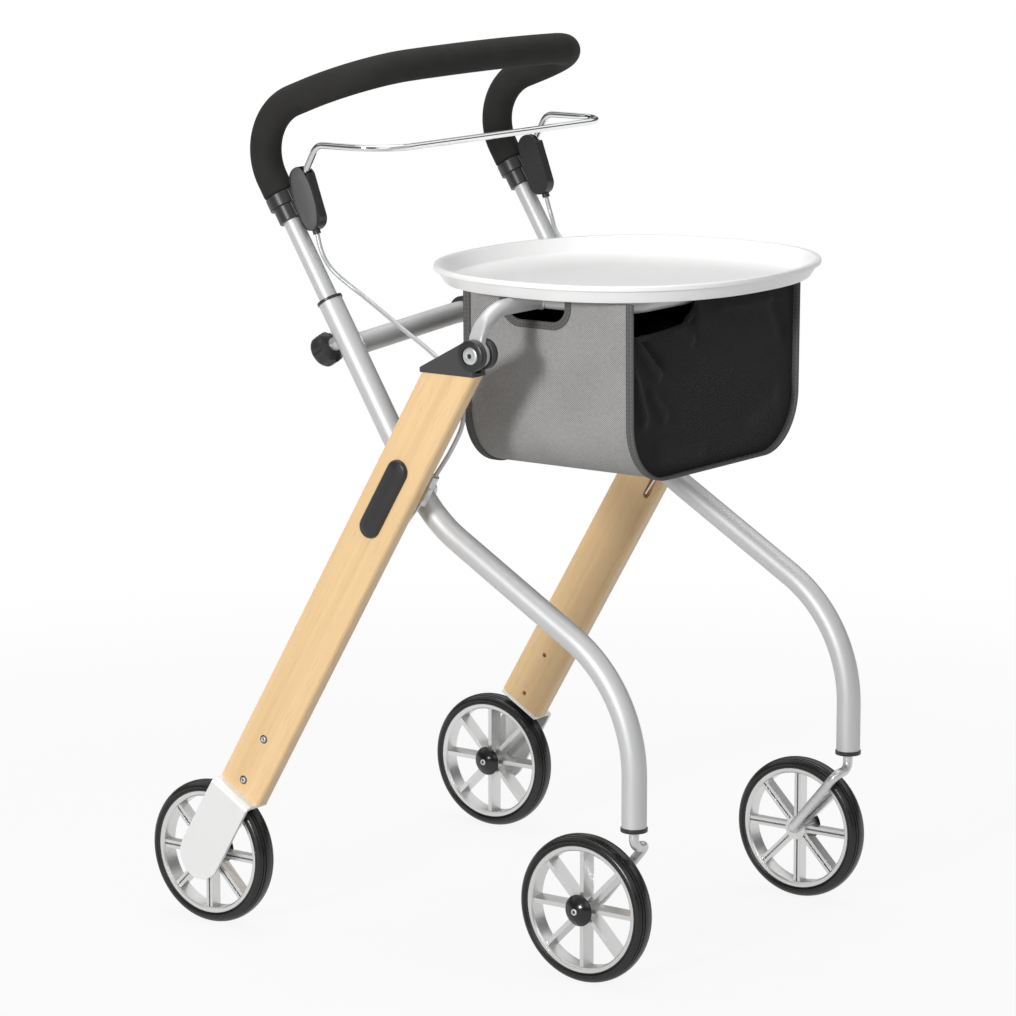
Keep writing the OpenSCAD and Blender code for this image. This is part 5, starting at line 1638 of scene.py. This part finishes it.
class WALKER_OT_stage(Operator):
    """Set the camera, the soft light and the pale floor"""
    bl_idname = "walker.stage"
    bl_label = "Stage"

    def execute(self, context):
        scene = context.scene
        scene.view_settings.view_transform = "Standard"
        self.camera(scene)
        self.floor(scene)
        self.sky(scene)
        for name, angles, distance, size, power in LAMPS:
            self.lamp(scene, name, towards(*angles), distance, size, power)
        return {"FINISHED"}

    def camera(self, scene):
        """The camera that sees the walker as the photograph does."""
        data = bpy.data.cameras.new("photo_camera")
        data.sensor_width = CAMERA_SENSOR
        data.lens = CAMERA_LENS
        data.clip_end = CAMERA_END
        back = towards(CAMERA_AZIMUTH, CAMERA_ELEVATION)
        seen = bpy.data.objects.new("photo_camera", data)
        seen.location = CAMERA_TARGET + CAMERA_DISTANCE * back
        seen.rotation_euler = Vector(back).to_track_quat("Z", "Y").to_euler()
        scene.collection.objects.link(seen)
        scene.camera = seen

    def floor(self, scene):
        """A pale floor that goes over into plain white away from the walker and keeps its shadow."""
        corner = np.array([[-1.0, -1.0], [1.0, -1.0], [1.0, 1.0], [-1.0, 1.0]]) * FLOOR_HALF
        mesh = bpy.data.meshes.new("floor")
        mesh.from_pydata([(x, y, 0.0) for x, y in corner], [], [(0, 1, 2, 3)])
        material = bpy.data.materials.new("floor")
        material.use_nodes = True
        tree = Tree(material.node_tree)
        spot = tree.place()
        away = tree.node("ShaderNodeVectorMath", {"operation": "LENGTH"}, {0: spot}, 1)
        behind = tree.along(spot, self.backwards())
        seen = self.direct_rays(tree, behind.step(*FLOOR_BEHIND))
        white = tree.node("ShaderNodeEmission", {}, {0: WHITE, 1: 1.0})
        matte = tree.node("ShaderNodeBsdfDiffuse", {}, {0: FLOOR_GREY})
        far = (away.step(FLOOR_NEAR, FLOOR_FAR) * (1.0 - FLOOR_SHARE) + FLOOR_SHARE) * seen
        look = tree.node("ShaderNodeMixShader", {}, {0: far, 1: matte, 2: white})
        tree.link(look, tree.nodes["Material Output"].inputs["Surface"])
        mesh.materials.append(material)
        plane = bpy.data.objects.new("floor", mesh)
        scene.collection.objects.link(plane)

    def backwards(self):
        """Level direction from the camera into the picture."""
        return -towards(CAMERA_AZIMUTH, 0.0)

    def direct_rays(self, tree, behind):
        """1 for rays from the camera, and behind the walker for rays that clear or glossy pieces send too."""
        direct, glossy, clear = (tree.node("ShaderNodeLightPath", out=f"Is {kind} Ray")
                                 for kind in ("Camera", "Glossy", "Transmission"))
        return (direct + (glossy + clear) * behind).clamped()

    def sky(self, scene):
        """A dim studio with softboxes ahead and overhead, and white behind the walker where it is seen.

        A level dark flag behind the walker breaks the white that glossy pieces show."""
        world = bpy.data.worlds.new("studio")
        world.use_nodes = True
        scene.world = world
        tree = Tree(world.node_tree)
        way = tree.node("ShaderNodeTexCoord", out="Generated")
        high = tree.axis(way, 2)
        softbox = tree.along(way, towards(*SOFTBOX_AT)).step(*SOFTBOX_EDGE) * SOFTBOX_LEVEL
        level = softbox + high.step(*SKY_TOP) * SKY_TOP_LEVEL + SKY_LEVEL
        flag = high.step(*FLAG_FOOT) * (1.0 - high.step(*FLAG_HEAD))
        behind = tree.along(way, self.backwards()).step(*SKY_BEHIND)
        seen = self.direct_rays(tree, behind * (1.0 - flag))
        lit = tree.node("ShaderNodeBackground", {}, {0: WHITE, 1: level * (1.0 - seen) + seen})
        tree.link(lit, tree.nodes["World Output"].inputs["Surface"])

    def lamp(self, scene, name, way, distance, size, power):
        """A round area light that faces the walker."""
        data = bpy.data.lights.new(name, "AREA")
        data.shape = "DISK"
        data.size = size
        data.energy = power
        spot = bpy.data.objects.new(name, data)
        spot.location = CAMERA_TARGET + distance * way
        spot.rotation_euler = Vector(way).to_track_quat("Z", "Y").to_euler()
        scene.collection.objects.link(spot)


class WALKER_PT_looks(Panel):
    """Lists the pieces, their sizes and their colours"""
    bl_idname = "WALKER_PT_looks"
    bl_label = "Walker"
    bl_space_type = "VIEW_3D"
    bl_region_type = "UI"
    bl_category = "Walker"

    def draw(self, context):
        for step in STEPS:
            self.layout.operator(step.bl_idname)
        for group in (context.scene.walker_sizes, context.scene.walker_colours):
            for name in group.__annotations__:
                self.layout.prop(group, name)


STEPS = (WALKER_OT_stage, WALKER_OT_cables, WALKER_OT_solids, WALKER_OT_grip, WALKER_OT_arms, WALKER_OT_tray,
         WALKER_OT_tyres, WALKER_OT_bag, WALKER_OT_pivot_covers, WALKER_OT_screws, WALKER_OT_soft_edges)
CLASSES = (WalkerSizes, WalkerColours, *STEPS, WALKER_PT_looks)


def register():
    """Adds the classes and their settings to Blender."""
    for part in CLASSES:
        bpy.utils.register_class(part)
    bpy.types.Scene.walker_sizes = PointerProperty(type=WalkerSizes)
    bpy.types.Scene.walker_colours = PointerProperty(type=WalkerColours)


def unregister():
    """Takes them out again."""
    del bpy.types.Scene.walker_colours
    del bpy.types.Scene.walker_sizes
    for part in reversed(CLASSES):
        bpy.utils.unregister_class(part)


def main():
    """Builds every piece through its operator."""
    register()
    for step in STEPS:
        group, name = step.bl_idname.split(".")
        getattr(getattr(bpy.ops, group), name)()


if __name__ == "__main__":
    main()
